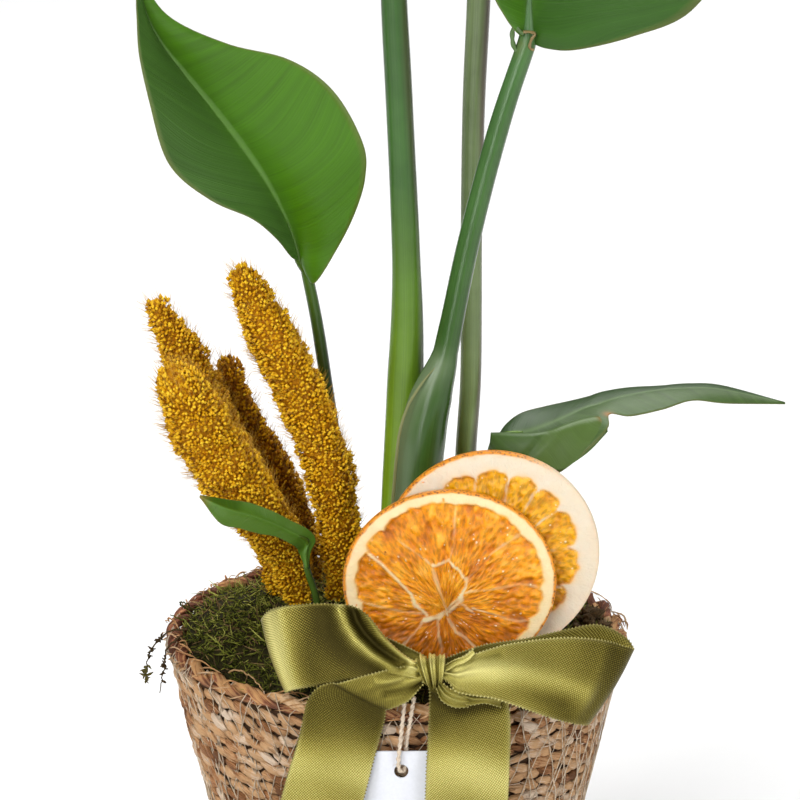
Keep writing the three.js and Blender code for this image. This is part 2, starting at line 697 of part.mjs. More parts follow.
const RIBBON_STRIPS = {
  leftLoop: {
    upper: [[9, -75.7, 136.5], [0, -74.7, 141.5], [-8.5, -70.2, 148.5], [-20, -66.2, 150],
      [-33.5, -63.7, 149], [-42, -61.2, 146.5], [-43, -57.2, 145], [-36, -54.2, 144.5],
      [-20, -56.2, 144.5], [-4, -65.2, 140], [9, -73.7, 136.5]],
    lower: [[9, -78.2, 128.5], [0, -78.7, 131.5], [-9, -78.2, 131.5], [-18, -76.2, 130],
      [-29, -71.2, 126.5], [-36.5, -66.7, 124], [-38, -61.7, 123.9], [-32, -55.7, 124.1],
      [-19, -58.2, 126.5], [-4, -67.2, 128], [9, -73.2, 128.5]],
    steps: 16,
  },
  rightLoop: {
    upper: [[11, -75.7, 136.5], [22, -74.2, 140], [36, -72.2, 141], [50, -69.2, 141], [62, -65.2, 138],
      [71.5, -60.7, 133], [72.5, -57.2, 132.5], [64, -54.7, 134.5], [48, -55.2, 136], [28, -62.2, 137.5],
      [11, -73.7, 136.5]],
    lower: [[11, -78.2, 128.5], [22, -80.2, 127.5], [33, -81.2, 125], [45, -80.2, 120], [55, -77.7, 116.5],
      [61.5, -73.2, 114.5], [62, -67.7, 114.5], [55, -65.2, 116.5], [43, -66.7, 120], [28, -70.7, 124],
      [11, -73.2, 128.5]],
    steps: 16,
  },
  leftTail: {
    upper: [[9, -74.5, 130.5], [-6, -74.5, 131], [-20, -74.5, 129], [-26.5, -74.9, 123.5],
      [-29.5, -75.4, 112.5], [-33, -75.4, 101], [-37, -74.9, 86.5], [-42, -74.4, 62.5], [-46, -73.9, 42.5]],
    lower: [[9, -74.5, 126.5], [3.5, -74.5, 125.3], [-0.5, -74.5, 124.5], [-3, -74.9, 120.5],
      [-5, -75.4, 110.5], [-7.8, -75.4, 100.5], [-11.5, -74.9, 86.5], [-17, -74.4, 62.5], [-22, -73.9, 36.5]],
    steps: 10,
  },
  rightTail: {
    upper: [[9.8, -76.1, 129.5], [9.6, -76.5, 124.5], [9, -75.7, 112.5], [8.5, -74.9, 98.5],
      [8.3, -74.4, 70.5], [8, -73.9, 34.5]],
    lower: [[17, -76.1, 130.5], [32, -76.5, 125.5], [34, -75.7, 112.5], [33.8, -74.9, 98.5],
      [33.4, -74.4, 70.5], [33, -73.9, 40.5]],
    steps: 7,
  },
};

/** One strip of ribbon: three lines of points across it, with an even thickness. */
function ribbonStrip({ upper, lower, steps }) {
  const [top, bottom] = [upper, lower].map((edge) => smooth(edge, "catmullrom"));
  const rows = [];
  for (let step = 0; step <= steps; step += 1) {
    rows.push([top.getPoint(step / steps), bottom.getPoint(step / steps)]);
  }
  const rings = rows.map(([high, low], step) => {
    const before = rows[Math.max(step - 1, 0)];
    const after = rows[Math.min(step + 1, steps)];
    const forward = after[0].clone().add(after[1]).sub(before[0]).sub(before[1]);
    const normal = forward.cross(high.clone().sub(low)).normalize();
    const half = RIBBON_THICKNESS / 2;
    const shift = (point, side) => point.clone().addScaledVector(normal, side * half).toArray();
    return [shift(high, 1), shift(low, 1), shift(low, -1), shift(high, -1)];
  });
  return skin(rings);
}

const KNOT = {
  points: [[4.8, -75.7, 132.5], [7, -75.7, 132.5], [13, -75.7, 132.5], [15.2, -75.7, 132.5]],
  radii: [4.6, 5.3, 5.3, 4.6],
};

/** The knot: a short rounded band that gathers the loops and tails. */
const bowKnot = () => stem(KNOT, { sides: 10, steps: 3 });

const ribbonBow = () => surface(joined([...Object.values(RIBBON_STRIPS).map(ribbonStrip), bowKnot()]));

// Tag and its string

const TAG_HOLE = [1.5, -72.8, 99];

/** A plain card that hangs from its hole. */
function tag() {
  const [x, y, z] = TAG_HOLE;
  const outline = new THREE.Shape();
  const low = TAG_HOLE_DROP - TAG_HEIGHT;
  outline.moveTo(-TAG_WIDTH / 2, low);
  outline.lineTo(TAG_WIDTH / 2, low);
  outline.lineTo(TAG_WIDTH / 2, TAG_HOLE_DROP);
  outline.lineTo(-TAG_WIDTH / 2, TAG_HOLE_DROP);
  outline.closePath();
  const hole = new THREE.Path();
  hole.absarc(0, 0, TAG_HOLE_RADIUS, 0, 2 * Math.PI, true);
  outline.holes.push(hole);
  const sheet = { depth: TAG_THICKNESS, bevelEnabled: false, curveSegments: 12 };
  const card = new THREE.ExtrudeGeometry(outline, sheet);
  card.rotateX(Math.PI / 2);
  card.translate(x, y + TAG_THICKNESS / 2, z);
  return card;
}

// The string leaves the bow, passes through the tag's hole and goes back up behind the tag.
const TWINE_ROUTE = [
  [2.6, -75.1, 123.7],
  [1.6, -75.1, 118.5],
  [0.4, -74.8, 112.5],
  [-0.2, -74.5, 106.5],
  [-0.3, -74.3, 102.5],
  [0, -74.1, 100.5],
  [0.6, -73.6, 99.3],
  [1.5, -72.8, 98.8],
  [2.4, -72, 99.3],
  [3, -71.5, 100.5],
  [3.4, -71.3, 102.5],
  [3.9, -71.5, 105.5],
  [4.4, -72.8, 109.5],
  [5.1, -74.4, 114],
  [5.8, -75, 119],
  [6.4, -75.1, 124.1],
];

/** The string itself, of an even thickness. */
function twine() {
  return stem({ points: TWINE_ROUTE, radii: [TWINE_RADIUS, TWINE_RADIUS] }, { sides: 8, steps: 26 });
}

// Assembly

add("basket_wall", basketWall(), GRASS_CORD);
add("basket_rim", basketRim(), GRASS_CORD);
add("grow_pot", growPot(), POT_PLASTIC);
add("soil", soil(), POTTING_SOIL);
add("root_crown", surface(rootCrown()), ROOT);
add("moss", moss(), MOSS_GREEN);

for (const name of Object.keys(STEMS)) {
  // The right stem's foot is a sheath that clasps the tall left stem.
  const sheathed = name === "stem_right";
  const geometry = sheathed
    ? surface(cutBy(solid(stemOf(name)), [stemOf("stem_tall_left", CLEARANCE + 0.1)]))
    : stemOf(name);
  add(name, geometry, STEM_GREEN);
}
for (const [name, shape] of Object.entries(BLADES)) {
  add(name, blade(shape), LEAF_GREEN);
}
for (const [name, head] of Object.entries(MILLET)) {
  add(name, surface(joined([milletHead(head), stalkOf(name)])), MILLET_GOLD);
}
for (const [name, slice] of Object.entries(SLICES)) {
  add(name, orangeSlice(slice), ORANGE_FLESH);
}
add("ribbon_bow", ribbonBow(), RIBBON_OLIVE);
add("tag", tag(), TAG_CARD);
add("twine", twine(), JUTE);

export default part;
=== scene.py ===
"""A potted bird of paradise in a coiled basket, dressed with moss, four dried millet heads, two dried
orange slices and a ribbon bow that carries a blank tag on a jute string.

+Z is up and the front faces -Y. The tables and sizes below are in millimetres, and every mesh is brought
to metres as it is made. The origin is the middle of the basket's flat base.
"""

import math

import bpy
import numpy as np
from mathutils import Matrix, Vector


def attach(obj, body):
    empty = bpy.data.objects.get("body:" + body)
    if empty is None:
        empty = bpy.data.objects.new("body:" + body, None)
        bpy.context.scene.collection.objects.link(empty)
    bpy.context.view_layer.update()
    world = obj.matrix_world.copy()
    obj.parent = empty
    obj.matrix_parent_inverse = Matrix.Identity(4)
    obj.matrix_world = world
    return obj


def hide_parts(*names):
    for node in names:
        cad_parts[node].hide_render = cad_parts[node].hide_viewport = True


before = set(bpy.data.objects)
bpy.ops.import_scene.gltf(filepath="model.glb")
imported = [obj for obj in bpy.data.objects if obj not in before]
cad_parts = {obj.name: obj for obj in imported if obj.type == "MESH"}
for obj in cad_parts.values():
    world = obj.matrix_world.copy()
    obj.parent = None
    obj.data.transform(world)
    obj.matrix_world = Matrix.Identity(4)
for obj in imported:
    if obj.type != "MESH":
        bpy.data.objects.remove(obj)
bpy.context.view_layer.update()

MM = 0.001

# Driving dimensions

BASKET_HEIGHT = 120
BASKET_BASE_RADIUS = 46
BASKET_RIM_RADIUS = 74
BASKET_WALL = 4
COIL_ROWS = 30
STRAND_PITCH = 5.6
RIM_CORD_RADIUS = 3.15
RIM_CORD_TURNS = 16
WALL_TOP = BASKET_HEIGHT - 2 * RIM_CORD_RADIUS - 0.4
ROW_HEIGHT = WALL_TOP / COIL_ROWS
WALL_SLOPE = math.atan((BASKET_RIM_RADIUS - BASKET_BASE_RADIUS) / BASKET_HEIGHT)
RING_RADIUS = BASKET_RIM_RADIUS - RIM_CORD_RADIUS
RING_HEIGHT = BASKET_HEIGHT - RIM_CORD_RADIUS
THREADS = 92
THREAD_RADIUS = 0.17

MOSS_RADIUS = 67
MOSS_CENTRE_HEIGHT = 125
MOSS_EDGE_DROP = 5
MOSS_LUMP = 0.9
MOSS_BED_DEPTH = 1.6
MOSS_SHOOTS = 9400

BLADE_THICKNESS = 0.4
SLICE_THICKNESS = 5
RIBBON_WIDTH = 25
RIBBON_THICKNESS = 0.4
BEAD_PITCH = 1.1
BEAD_RADIUS = 0.29
TWINE_RADIUS = 0.7
SEED_SPACING = 1.18
LOBE_SPACING = 4.4
LOBE_RADIUS = 3
LOBE_HEIGHT = 2
BRISTLE_AREA = 2.6


# Curves and grids


def smooth(points, count, centripetal=False):
    """A Catmull-Rom curve through the points, read at evenly spaced places along their order. Each span is
    the cubic whose end slopes come from the neighbouring points; the centripetal kind weighs those slopes by
    the square root of the distances between points."""
    points = np.asarray(points, float)
    padded = np.concatenate([[2 * points[0] - points[1]], points, [2 * points[-1] - points[-2]]])
    place = np.linspace(0, len(points) - 1, count)
    span = np.minimum(place.astype(int), len(points) - 2)
    t = (place - span)[:, None]
    p0, p1, p2, p3 = (padded[span + shift] for shift in range(4))
    m1, m2 = (p2 - p0) / 2, (p3 - p1) / 2
    if centripetal:
        pairs = ((p0, p1), (p1, p2), (p2, p3))
        d0, d1, d2 = (np.sqrt(np.linalg.norm(b - a, axis=1, keepdims=True)) for a, b in pairs)
        m1 = ((p1 - p0) / d0 - (p2 - p0) / (d0 + d1) + (p2 - p1) / d1) * d1
        m2 = ((p2 - p1) / d1 - (p3 - p1) / (d1 + d2) + (p3 - p2) / d2) * d1
    return p1 + m1 * t + (3 * (p2 - p1) - 2 * m1 - m2) * t**2 + (2 * (p1 - p2) + m1 + m2) * t**3


def run_along(path):
    """The distance from a path's start to each of its points."""
    return np.concatenate([[0], np.cumsum(np.linalg.norm(np.diff(path, axis=0), axis=1))])


def read_at(places, run, rows):
    """The rows that belong to the runs, read in a straight line between them at the places."""
    return np.stack([np.interp(places, run, column) for column in rows.T], -1)


def even(path, count):
    """The path read again at equal steps of its length."""
    run = run_along(path)
    return read_at(np.linspace(0, run[-1], count), run, path)


def route(points, count):
    """A stem's centre line: a centripetal curve through the points, at equal steps of length."""
    return even(smooth(points, 12 * len(points), centripetal=True), count)


def spread(values, count):
    """Evenly spaced values read in a straight line between each other, as count values."""
    return np.interp(np.linspace(0, 1, count), np.linspace(0, 1, len(values)), values)


def unit(vectors):
    """Vectors brought to a length of one."""
    return vectors / np.maximum(np.linalg.norm(vectors, axis=-1, keepdims=True), 1e-9)


def ramp_between(value, low, high):
    """0 below low, 1 above high and a smooth S between them."""
    t = np.clip((value - low) / (high - low), 0, 1)
    return t * t * (3 - 2 * t)


def bell(value, width):
    """1 at nothing and less on both sides of it: exp(-(value / width)^2)."""
    return np.exp(-(value / width) ** 2)


def spot(points, middle, size):
    """1 at the middle and less about it, by the same law of the distance."""
    return bell(np.linalg.norm(points - middle, axis=1), size)


def line_distance(points, line):
    """Distance in the plane from each point to the nearest of a line's straight stretches."""
    line = np.asarray(line, float)
    start, way = line[:-1], np.diff(line, axis=0)
    away = points[..., None, :] - start
    share = np.clip((away * way).sum(-1) / (way**2).sum(-1), 0, 1)
    return np.linalg.norm(away - share[..., None] * way, axis=-1).min(axis=-1)


def full_turn(count):
    """Evenly spaced angles round one full turn, from 0."""
    return np.arange(count) / count * 2 * np.pi


def xyz(x, y, z):
    """Points from their three coordinates, each a number or an array."""
    return np.stack(np.broadcast_arrays(x, y, z), -1)


def polar(radius, angle, height=0.0):
    """Points at a radius and an angle about +Z, and at a height."""
    return xyz(radius * np.cos(angle), radius * np.sin(angle), height)


def grid_faces(rows, columns, wrap=False):
    """Two triangles for each cell of a grid of points that is numbered row by row."""
    row = np.arange(rows - 1)[:, None]
    column = np.arange(columns if wrap else columns - 1)[None, :]
    beside = (column + 1) % columns
    a, b = row * columns + column, row * columns + beside
    c, d = b + columns, a + columns
    return np.concatenate([np.stack([a, b, c], -1), np.stack([a, c, d], -1)]).reshape(-1, 3)


def grid_normals(grid):
    """Directions square to a grid of points."""
    return unit(np.cross(np.gradient(grid, axis=1), np.gradient(grid, axis=0)))


def copied_faces(faces, copies, points_each):
    """The same triangles for each of many copies that have the same number of points."""
    return (faces[None] + (np.arange(copies) * points_each)[:, None, None]).reshape(-1, 3)


def tubes(paths, radii, sides, out=None, flat=1.0):
    """Closed strands, one or many at once. Paths hold (strands, steps, 3) points and radii (strands, steps)
    sizes, both without the first axis for one strand. Each ring is its centre + radius * (cos a * across +
    flat * sin a * out), square to the path, and each end is shut with a fan. Gives the points, the triangles
    and each point's strand, step and angle."""
    radii = np.asarray(radii, float)
    if paths.ndim == 2:
        paths, radii = paths[None], radii[None]
    strands, steps, _ = paths.shape
    ahead = unit(np.gradient(paths, axis=1))
    if out is None:
        weakest = np.abs(ahead.mean(axis=1)).argmin(axis=1)
        out = np.eye(3)[weakest][:, None, :]
    out = unit(out - ahead * (out * ahead).sum(-1, keepdims=True))
    across = np.cross(out, ahead)
    angle = full_turn(sides)
    ring = across[:, :, None] * np.cos(angle)[:, None] + flat * out[:, :, None] * np.sin(angle)[:, None]
    radii = radii[..., None] if radii.ndim == 2 else radii
    points = paths[:, :, None] + ring * np.broadcast_to(radii, (strands, steps, sides))[..., None]
    turn = np.arange(1, sides - 1)
    first = np.stack([np.zeros_like(turn), turn + 1, turn], -1)
    last = first[:, [0, 2, 1]] + (steps - 1) * sides
    one = np.concatenate([grid_faces(steps, sides, wrap=True), first, last])
    index = np.indices((strands, steps, sides)).reshape(3, -1)
    return points.reshape(-1, 3), copied_faces(one, strands, steps * sides), index


def strands_from(foot, way, bend, t, sizes, sides, *form):
    """Short bent strands: each centre line is its foot + way * t + bend * t squared."""
    t = np.array(t)[:, None]
    return tubes(foot[:, None] + way[:, None] * t + bend[:, None] * t**2, sizes, sides, *form)


def sheet_faces(rows, columns):
    """Faces of a thin closed sheet: a front grid, a back grid behind it turned over, and a strip all round."""
    count = rows * columns
    index = np.arange(count).reshape(rows, columns)
    front = grid_faces(rows, columns)
    rim = np.concatenate([index[0, :-1], index[:-1, -1], index[-1, :0:-1], index[:0:-1, 0]])
    after = np.roll(rim, -1)
    strip = [np.stack([rim, rim + count, after + count], -1), np.stack([rim, after + count, after], -1)]
    return np.concatenate([front, front[:, ::-1] + count, *strip])


def placed(name, data):
    """A new object in the scene that holds the data."""
    made = bpy.data.objects.new(name, data)
    bpy.context.scene.collection.objects.link(made)
    return made


def piece(name, parts, finish, replaces=()):
    """One object made of parts, each (points, triangles, values). Values are numbers or triples that the
    finish reads, one for the whole part or one for each point."""
    counts = [len(part[0]) for part in parts]
    starts = np.cumsum([0, *counts[:-1]])
    points = np.concatenate([part[0] for part in parts]) * MM
    faces = np.concatenate([part[1] + start for part, start in zip(parts, starts)])
    mesh = bpy.data.meshes.new(name)
    mesh.vertices.add(len(points))
    mesh.vertices.foreach_set("co", points.astype(np.float32).ravel())
    mesh.loops.add(faces.size)
    mesh.loops.foreach_set("vertex_index", faces.astype(np.int32).ravel())
    mesh.polygons.add(len(faces))
    mesh.polygons.foreach_set("loop_start", np.arange(0, faces.size, 3, dtype=np.int32))
    mesh.update(calc_edges=True)
    mesh.shade_smooth()
    for key in sorted({key for part in parts for key in part[2]}):
        kind, field, shape = ("FLOAT_VECTOR", "vector", (3,)) if key == "place" else ("FLOAT", "value", ())
        own = (part[2].get(key, 0.0) for part in parts)
        values = [np.broadcast_to(value, (count, *shape)) for value, count in zip(own, counts)]
        attribute = mesh.attributes.new(key, kind, "POINT")
        attribute.data.foreach_set(field, np.concatenate(values).astype(np.float32).ravel())
    made = placed(name, mesh)
    mesh.materials.append(finish)
    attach(made, "root")
    if replaces:
        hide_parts(*replaces)
    return made


def dress(node, finish):
    """Gives a CAD node that stays in view its own finish."""
    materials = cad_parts[node].data.materials
    materials.clear()
    materials.append(finish)


# Finishes


class Nodes:
    """A tree of shader nodes; each method adds to it and gives a socket."""

    def __init__(self, tree):
        self.tree = tree

    def node(self, kind, inputs, output=0, **settings):
        made = self.tree.nodes.new(kind)
        for key, value in settings.items():
            setattr(made, key, value)
        for key, value in inputs.items():
            if isinstance(value, bpy.types.NodeSocket):
                self.tree.links.new(value, made.inputs[key])
            else:
                made.inputs[key].default_value = value
        return made.outputs[output] if len(made.outputs) else made

    def value(self, name, output="Fac"):
        """A number that the mesh holds on its points."""
        return self.node("ShaderNodeAttribute", {}, output, attribute_name=name)

    def place(self, *scale):
        """The surface's own coordinates, which the mesh holds on its points, stretched by a scale."""
        place = self.value("place", "Vector")
        return self.node("ShaderNodeMapping", {"Vector": place, "Scale": scale}) if scale else place

    def body(self):
        """Coordinates in the object, in metres."""
        return self.node("ShaderNodeTexCoord", {}, "Object")

    def noise(self, vector, scale, detail=3.0, roughness=0.55, distortion=0.0):
        inputs = {"Vector": vector, "Scale": scale, "Detail": detail, "Roughness": roughness}
        return self.node("ShaderNodeTexNoise", {**inputs, "Distortion": distortion})

    def cells(self, vector, scale):
        """The distance to the nearest of scattered points."""
        return self.node("ShaderNodeTexVoronoi", {"Vector": vector, "Scale": scale}, "Distance")

    def split(self, vector, axis):
        return self.node("ShaderNodeSeparateXYZ", {"Vector": vector}, axis)

    def calc(self, operation, *values, clamp=False):
        return self.node("ShaderNodeMath", dict(enumerate(values)), operation=operation, use_clamp=clamp)

    def add(self, first, second, clamp=False):
        return self.calc("ADD", first, second, clamp=clamp)

    def times(self, first, second):
        return self.calc("MULTIPLY", first, second)

    def swing(self, share, factor):
        """A share that lies about 0.5 made a number that lies about 0."""
        return self.times(self.calc("SUBTRACT", share, 0.5), factor)

    def waves(self, distance, pitch):
        return self.calc("SINE", self.times(distance, 2 * math.pi / pitch))

    def ramp(self, share, stops):
        """Colours at places from 0 to 1, blended between them."""
        made = self.tree.nodes.new("ShaderNodeValToRGB")
        elements = made.color_ramp.elements
        while len(elements) < len(stops):
            elements.new(0.5)
        for element, (position, colour) in zip(elements, stops):
            element.position = position
            element.color = (*colour, 1) if hasattr(colour, "__len__") else (colour, colour, colour, 1)
        self.tree.links.new(share, made.inputs[0])
        return made.outputs[0]

    def mix(self, share, first, second, kind="MIX"):
        """Two colours blended by a share."""
        first, second = ((*c, 1) if isinstance(c, tuple) else c for c in (first, second))
        inputs = {0: share, 6: first, 7: second}
        return self.node("ShaderNodeMix", inputs, 2, data_type="RGBA", blend_type=kind)

    def shade(self, colour, share, stops):
        """The colour times a brightness that the share picks from the stops."""
        return self.mix(1.0, colour, self.ramp(share, stops), "MULTIPLY")

    def cover(self, colour, **layers):
        """More colours laid over it in turn, each as far as the mesh's number of that name says."""
        for name, layer in layers.items():
            colour = self.mix(self.value(name), colour, layer)
        return colour

    def bump(self, height, distance, over=None):
        """Relief of a height, as deep as distance in millimetres, on top of another relief."""
        inputs = {"Height": height, "Distance": distance * MM, "Strength": 1.0}
        inputs.update({} if over is None else {"Normal": over})
        return self.node("ShaderNodeBump", inputs)


class Finish(Nodes):
    """A material made node by node."""

    def __init__(self, name):
        self.material = bpy.data.materials.new(name)
        self.material.use_nodes = True
        super().__init__(self.material.node_tree)
        self.tree.nodes.clear()

    def done(self, colour, roughness, relief, specular=0.5, **constants):
        """The shader itself; constants are set on its own sockets."""
        constants["Specular_IOR_Level"] = specular
        inputs = {"Base Color": colour, "Roughness": roughness, "Normal": relief}
        inputs.update({key.replace("_", " "): value for key, value in constants.items()})
        self.node("ShaderNodeOutputMaterial", {"Surface": self.node("ShaderNodeBsdfPrincipled", inputs)})
        return self.material


def grass_finish(name, pale, tan, brown):
    """Dried grass blades: fine fibres along each strand, strands of different tones, darker in places, and
    painted shade laid over where the mesh marks it: in the gaps between strands and where the rim's strands
    dive.
    """
    f = Finish(name)
    fibres = f.noise(f.place(3600, 190, 1000), 1.0, 4.0, 0.7)
    patches = f.noise(f.body(), 120.0, 4.0, 0.6)
    tone = f.add(f.add(f.value("tone"), f.swing(fibres, 1.5)), f.swing(patches, 1.1), clamp=True)
    dark = tuple(0.42 * channel for channel in brown)
    colour = f.ramp(tone, [(0.0, dark), (0.2, brown), (0.45, tan), (0.66, tan), (1.0, pale)])
    # Painted shade: a dark brown where the mesh marks gaps between strands and dives of the rim's strands.
    colour = f.cover(colour, hollow=(0.055, 0.03, 0.018))
    return f.done(colour, 0.68, f.bump(fibres, 0.7, f.bump(patches, 0.5)), 0.2)


def thread_finish():
    """Thin sewing thread, pale beige and slightly uneven."""
    f = Finish("sewing_thread")
    colour = f.ramp(f.noise(f.body(), 500.0), [(0.3, (0.42, 0.31, 0.2)), (0.7, (0.74, 0.62, 0.47))])
    return f.done(colour, 0.7, f.bump(f.noise(f.body(), 4000.0), 0.05), 0.3)


def leaf_finish(name, left, right, rib, under, gloss):
    """A leaf: fine faint veins that leave the midrib and curve to the tip, broad soft bands along them, a pale
    midrib, a thin dry margin and a paler underside. Its two halves take two colours, the darker of them painted
    shade for the half turned from the light. The mesh gives the vein coordinate."""
    f = Finish(name)
    bands = f.noise(f.place(0.3, 0.3, 0), 1.0, 2.0, 0.5)
    veins = f.noise(f.place(0.5, 1.9, 0), 1.0, 3.0, 0.6)
    # Painted light: the two halves take the two colours, one of them darker as painted shade for the half turned
    # from the light.
    half = f.add(f.times(f.split(f.place(), 0), 2.2), 0.5, clamp=True)
    streak = f.add(f.times(bands, 0.5), f.times(f.noise(f.body(), 18.0, 2.0), 0.5))
    colour = f.shade(f.mix(half, left, right), streak, [(0.36, 0.82), (0.5, 1.0), (0.66, 1.16)])
    colour = f.shade(colour, veins, [(0.3, 0.86), (0.7, 1.12)])
    colour = f.cover(colour, under=under, rib=rib, edge=(0.17, 0.16, 0.05), dry=(0.32, 0.15, 0.04))
    return f.done(colour, gloss, f.bump(veins, 0.12, f.bump(bands, 0.12)), 0.28)


def stem_finish(name, foot, middle, top, blush, high):
    """A leaf stalk: long fine ridges, yellow-green at the foot, darker above, at its last colour from the height
    high upwards, and darkened down its +X side, partly by a brown edge that it has and partly by painted shade."""
    f = Finish(name)
    ridges = f.noise(f.place(44, 0.012, 0), 1.0, 3.0, 0.6)
    above = f.calc("SUBTRACT", f.split(f.body(), 2), BASKET_HEIGHT * MM)
    share = f.calc("DIVIDE", above, (high - BASKET_HEIGHT) * MM, clamp=True)
    colour = f.ramp(share, [(0.0, foot), (0.45, middle), (1.0, top)])
    colour = f.shade(colour, ridges, [(0.32, 0.84), (0.5, 1.0), (0.7, 1.15)])
    colour = f.shade(colour, f.noise(f.body(), 60.0), [(0.35, 0.9), (0.65, 1.1)])
    pale, bloom, dry = (0.36, 0.34, 0.16), (0.2, 0.26, 0.15), (0.24, 0.15, 0.06)
    colour = f.cover(colour, blush=blush, pale=pale, bloom=bloom, dry=dry)
    return f.done(colour, 0.23, f.bump(ridges, 0.04), 0.36)


def millet_finish():
    """Golden seeds, each of its own tone, with brown husks between them and straw bristles."""
    f = Finish("dried_millet")
    grain = f.noise(f.body(), 900.0, 2.0)
    colour = f.ramp(f.add(f.value("tone"), f.swing(grain, 0.5), clamp=True), [
        (0.0, (0.1, 0.03, 0.001)), (0.25, (0.36, 0.14, 0.002)),
        (0.6, (0.64, 0.33, 0.004)), (1.0, (0.86, 0.56, 0.03)),
    ])
    return f.done(f.cover(colour, dry=(0.6, 0.38, 0.09)), 0.6, f.bump(grain, 0.12), 0.12)


def moss_finish():
    """Moss: shoots from dark green to fresh yellow-green at their tips, some of them brown."""
    f = Finish("moss_green")
    colour = f.ramp(f.add(f.value("tone"), f.times(f.value("tip"), 0.3), clamp=True), [
        (0.0, (0.012, 0.014, 0.002)), (0.35, (0.048, 0.056, 0.006)),
        (0.7, (0.16, 0.175, 0.022)), (1.0, (0.4, 0.4, 0.09)),
    ])
    brown = f.ramp(f.value("tone"), [(0.0, (0.03, 0.017, 0.008)), (1.0, (0.36, 0.22, 0.1))])
    specks = f.noise(f.body(), 1500.0, 2.0)
    colour = f.shade(f.cover(colour, dry=brown), specks, [(0.3, 0.6), (0.7, 1.35)])
    return f.done(colour, 0.8, f.bump(specks, 0.15), 0.12)


def orange_finish(name, pulp_deep, pulp_bright, pith):
    """A dried slice: juice sacs that run out from the core with pale skins and painted wet glints, pale walls
    and pith that is warmer beside the pulp, and a speckled rind. Painted shade darkens the pulp towards the
    slice's bottom."""
    f = Finish(name)
    fibres = f.noise(f.place(5.5, 1.4, 0), 1.0, 4.0, 0.65, 0.8)
    blotches = f.noise(f.body(), 190.0, 4.0, 0.62)
    share = f.add(f.times(f.value("sac"), 0.2), f.times(blotches, 0.66))
    # Painted shade: the pulp darkens towards the slice's bottom, as far as the mesh's low number says.
    share = f.calc("SUBTRACT", share, f.times(f.value("low"), 0.28))
    brown = tuple(0.55 * channel for channel in pulp_deep)
    colour = f.ramp(share, [(0.12, brown), (0.28, pulp_deep), (0.46, pulp_bright), (0.66, (0.9, 0.45, 0.05))])
    colour = f.shade(colour, fibres, [(0.28, 0.76), (0.5, 1.0), (0.72, 1.24)])
    colour = f.shade(colour, f.cells(f.place(4.0, 0.9, 0), 1.0), [(0.1, 0.88), (0.35, 1.0), (0.6, 1.3)])
    # Painted highlight: small pale wet glints, scattered where the sprinkle lets them through.
    painted_glints = f.ramp(f.add(f.cells(f.place(2.3, 1.1, 0), 1.0), f.times(fibres, 0.6)), [(0.38, 1.0), (0.5, 0.0)])
    sprinkle = f.ramp(f.noise(f.body(), 260.0, 2.0), [(0.52, 0.0), (0.6, 0.9)])
    colour = f.mix(f.times(painted_glints, sprinkle), colour, (1.0, 0.86, 0.6))
    tint = f.add(f.value("warm"), f.times(f.noise(f.body(), 240.0), 0.2), clamp=True)
    specks = f.ramp(f.cells(f.body(), 1000.0), [(0.22, (0.26, 0.07, 0.005)), (0.5, (0.8, 0.29, 0.015))])
    colour = f.cover(colour, wall=f.mix(tint, pith, (0.88, 0.46, 0.08)), rind=specks)
    wet = f.add(f.times(f.value("wall"), 0.4), 0.22, clamp=True)
    relief = f.bump(fibres, 0.4, f.bump(blotches, 0.3))
    return f.done(colour, wet, relief, 0.4, Subsurface_Weight=0.15, Subsurface_Scale=0.0015)


def ribbon_finish():
    """Olive satin: fine diagonal ribs crossed by finer ones, so that each float is a small bright dash; the
    painted light that the mesh holds, painted highlight where it is high and painted shade where it is low,
    shifts all its tones. Its woven edges have pale beads, whose tone follows the same painted light."""
    f = Finish("olive_satin")
    across, along = f.split(f.place(), 0), f.split(f.place(), 1)
    drift = f.times(f.noise(f.place(0.12, 0.12, 0), 1.0, 1.0), 1.4)
    ribs = f.waves(f.add(f.add(across, f.times(along, 0.8)), drift), 0.82)
    floats = f.waves(f.calc("SUBTRACT", across, f.times(along, 1.3)), 0.95)
    uneven = f.noise(f.place(2.2, 2.2, 0), 1.0, 2.0)
    weave = f.add(f.times(ribs, 0.19), f.times(floats, 0.13))
    colour = f.ramp(f.add(f.value("sheen"), f.add(weave, f.swing(uneven, 0.5)), clamp=True), [
        (0.0, (0.035, 0.027, 0.003)), (0.25, (0.11, 0.088, 0.012)), (0.5, (0.25, 0.21, 0.038)),
        (0.75, (0.45, 0.4, 0.1)), (1.0, (0.74, 0.68, 0.27)),
    ])
    bead = f.ramp(f.value("sheen"), [(0.1, (0.22, 0.18, 0.04)), (0.8, (0.72, 0.66, 0.27))])
    relief = f.bump(weave, 0.1, f.bump(uneven, 0.05))
    return f.done(f.cover(colour, edge=bead), 0.47, relief, 0.3, Metallic=0.8)


def plain_finish(name, dark, pale, scale, roughness, depth):
    """An even material with small uneven tones and relief."""
    f = Finish(name)
    grain = f.noise(f.body(), scale, 5.0, 0.65)
    return f.done(f.ramp(grain, [(0.3, dark), (0.7, pale)]), roughness, f.bump(grain, depth))


def jute_finish():
    """Jute: pale brown fibres that follow the twist."""
    f = Finish("jute_string")
    fibres = f.noise(f.place(5.0, 0.6, 1.0), 1.0)
    colour = f.ramp(fibres, [(0.3, (0.44, 0.33, 0.23)), (0.65, (0.84, 0.72, 0.57))])
    return f.done(colour, 0.85, f.bump(fibres, 0.2), 0.2)


# Camera, light and floor


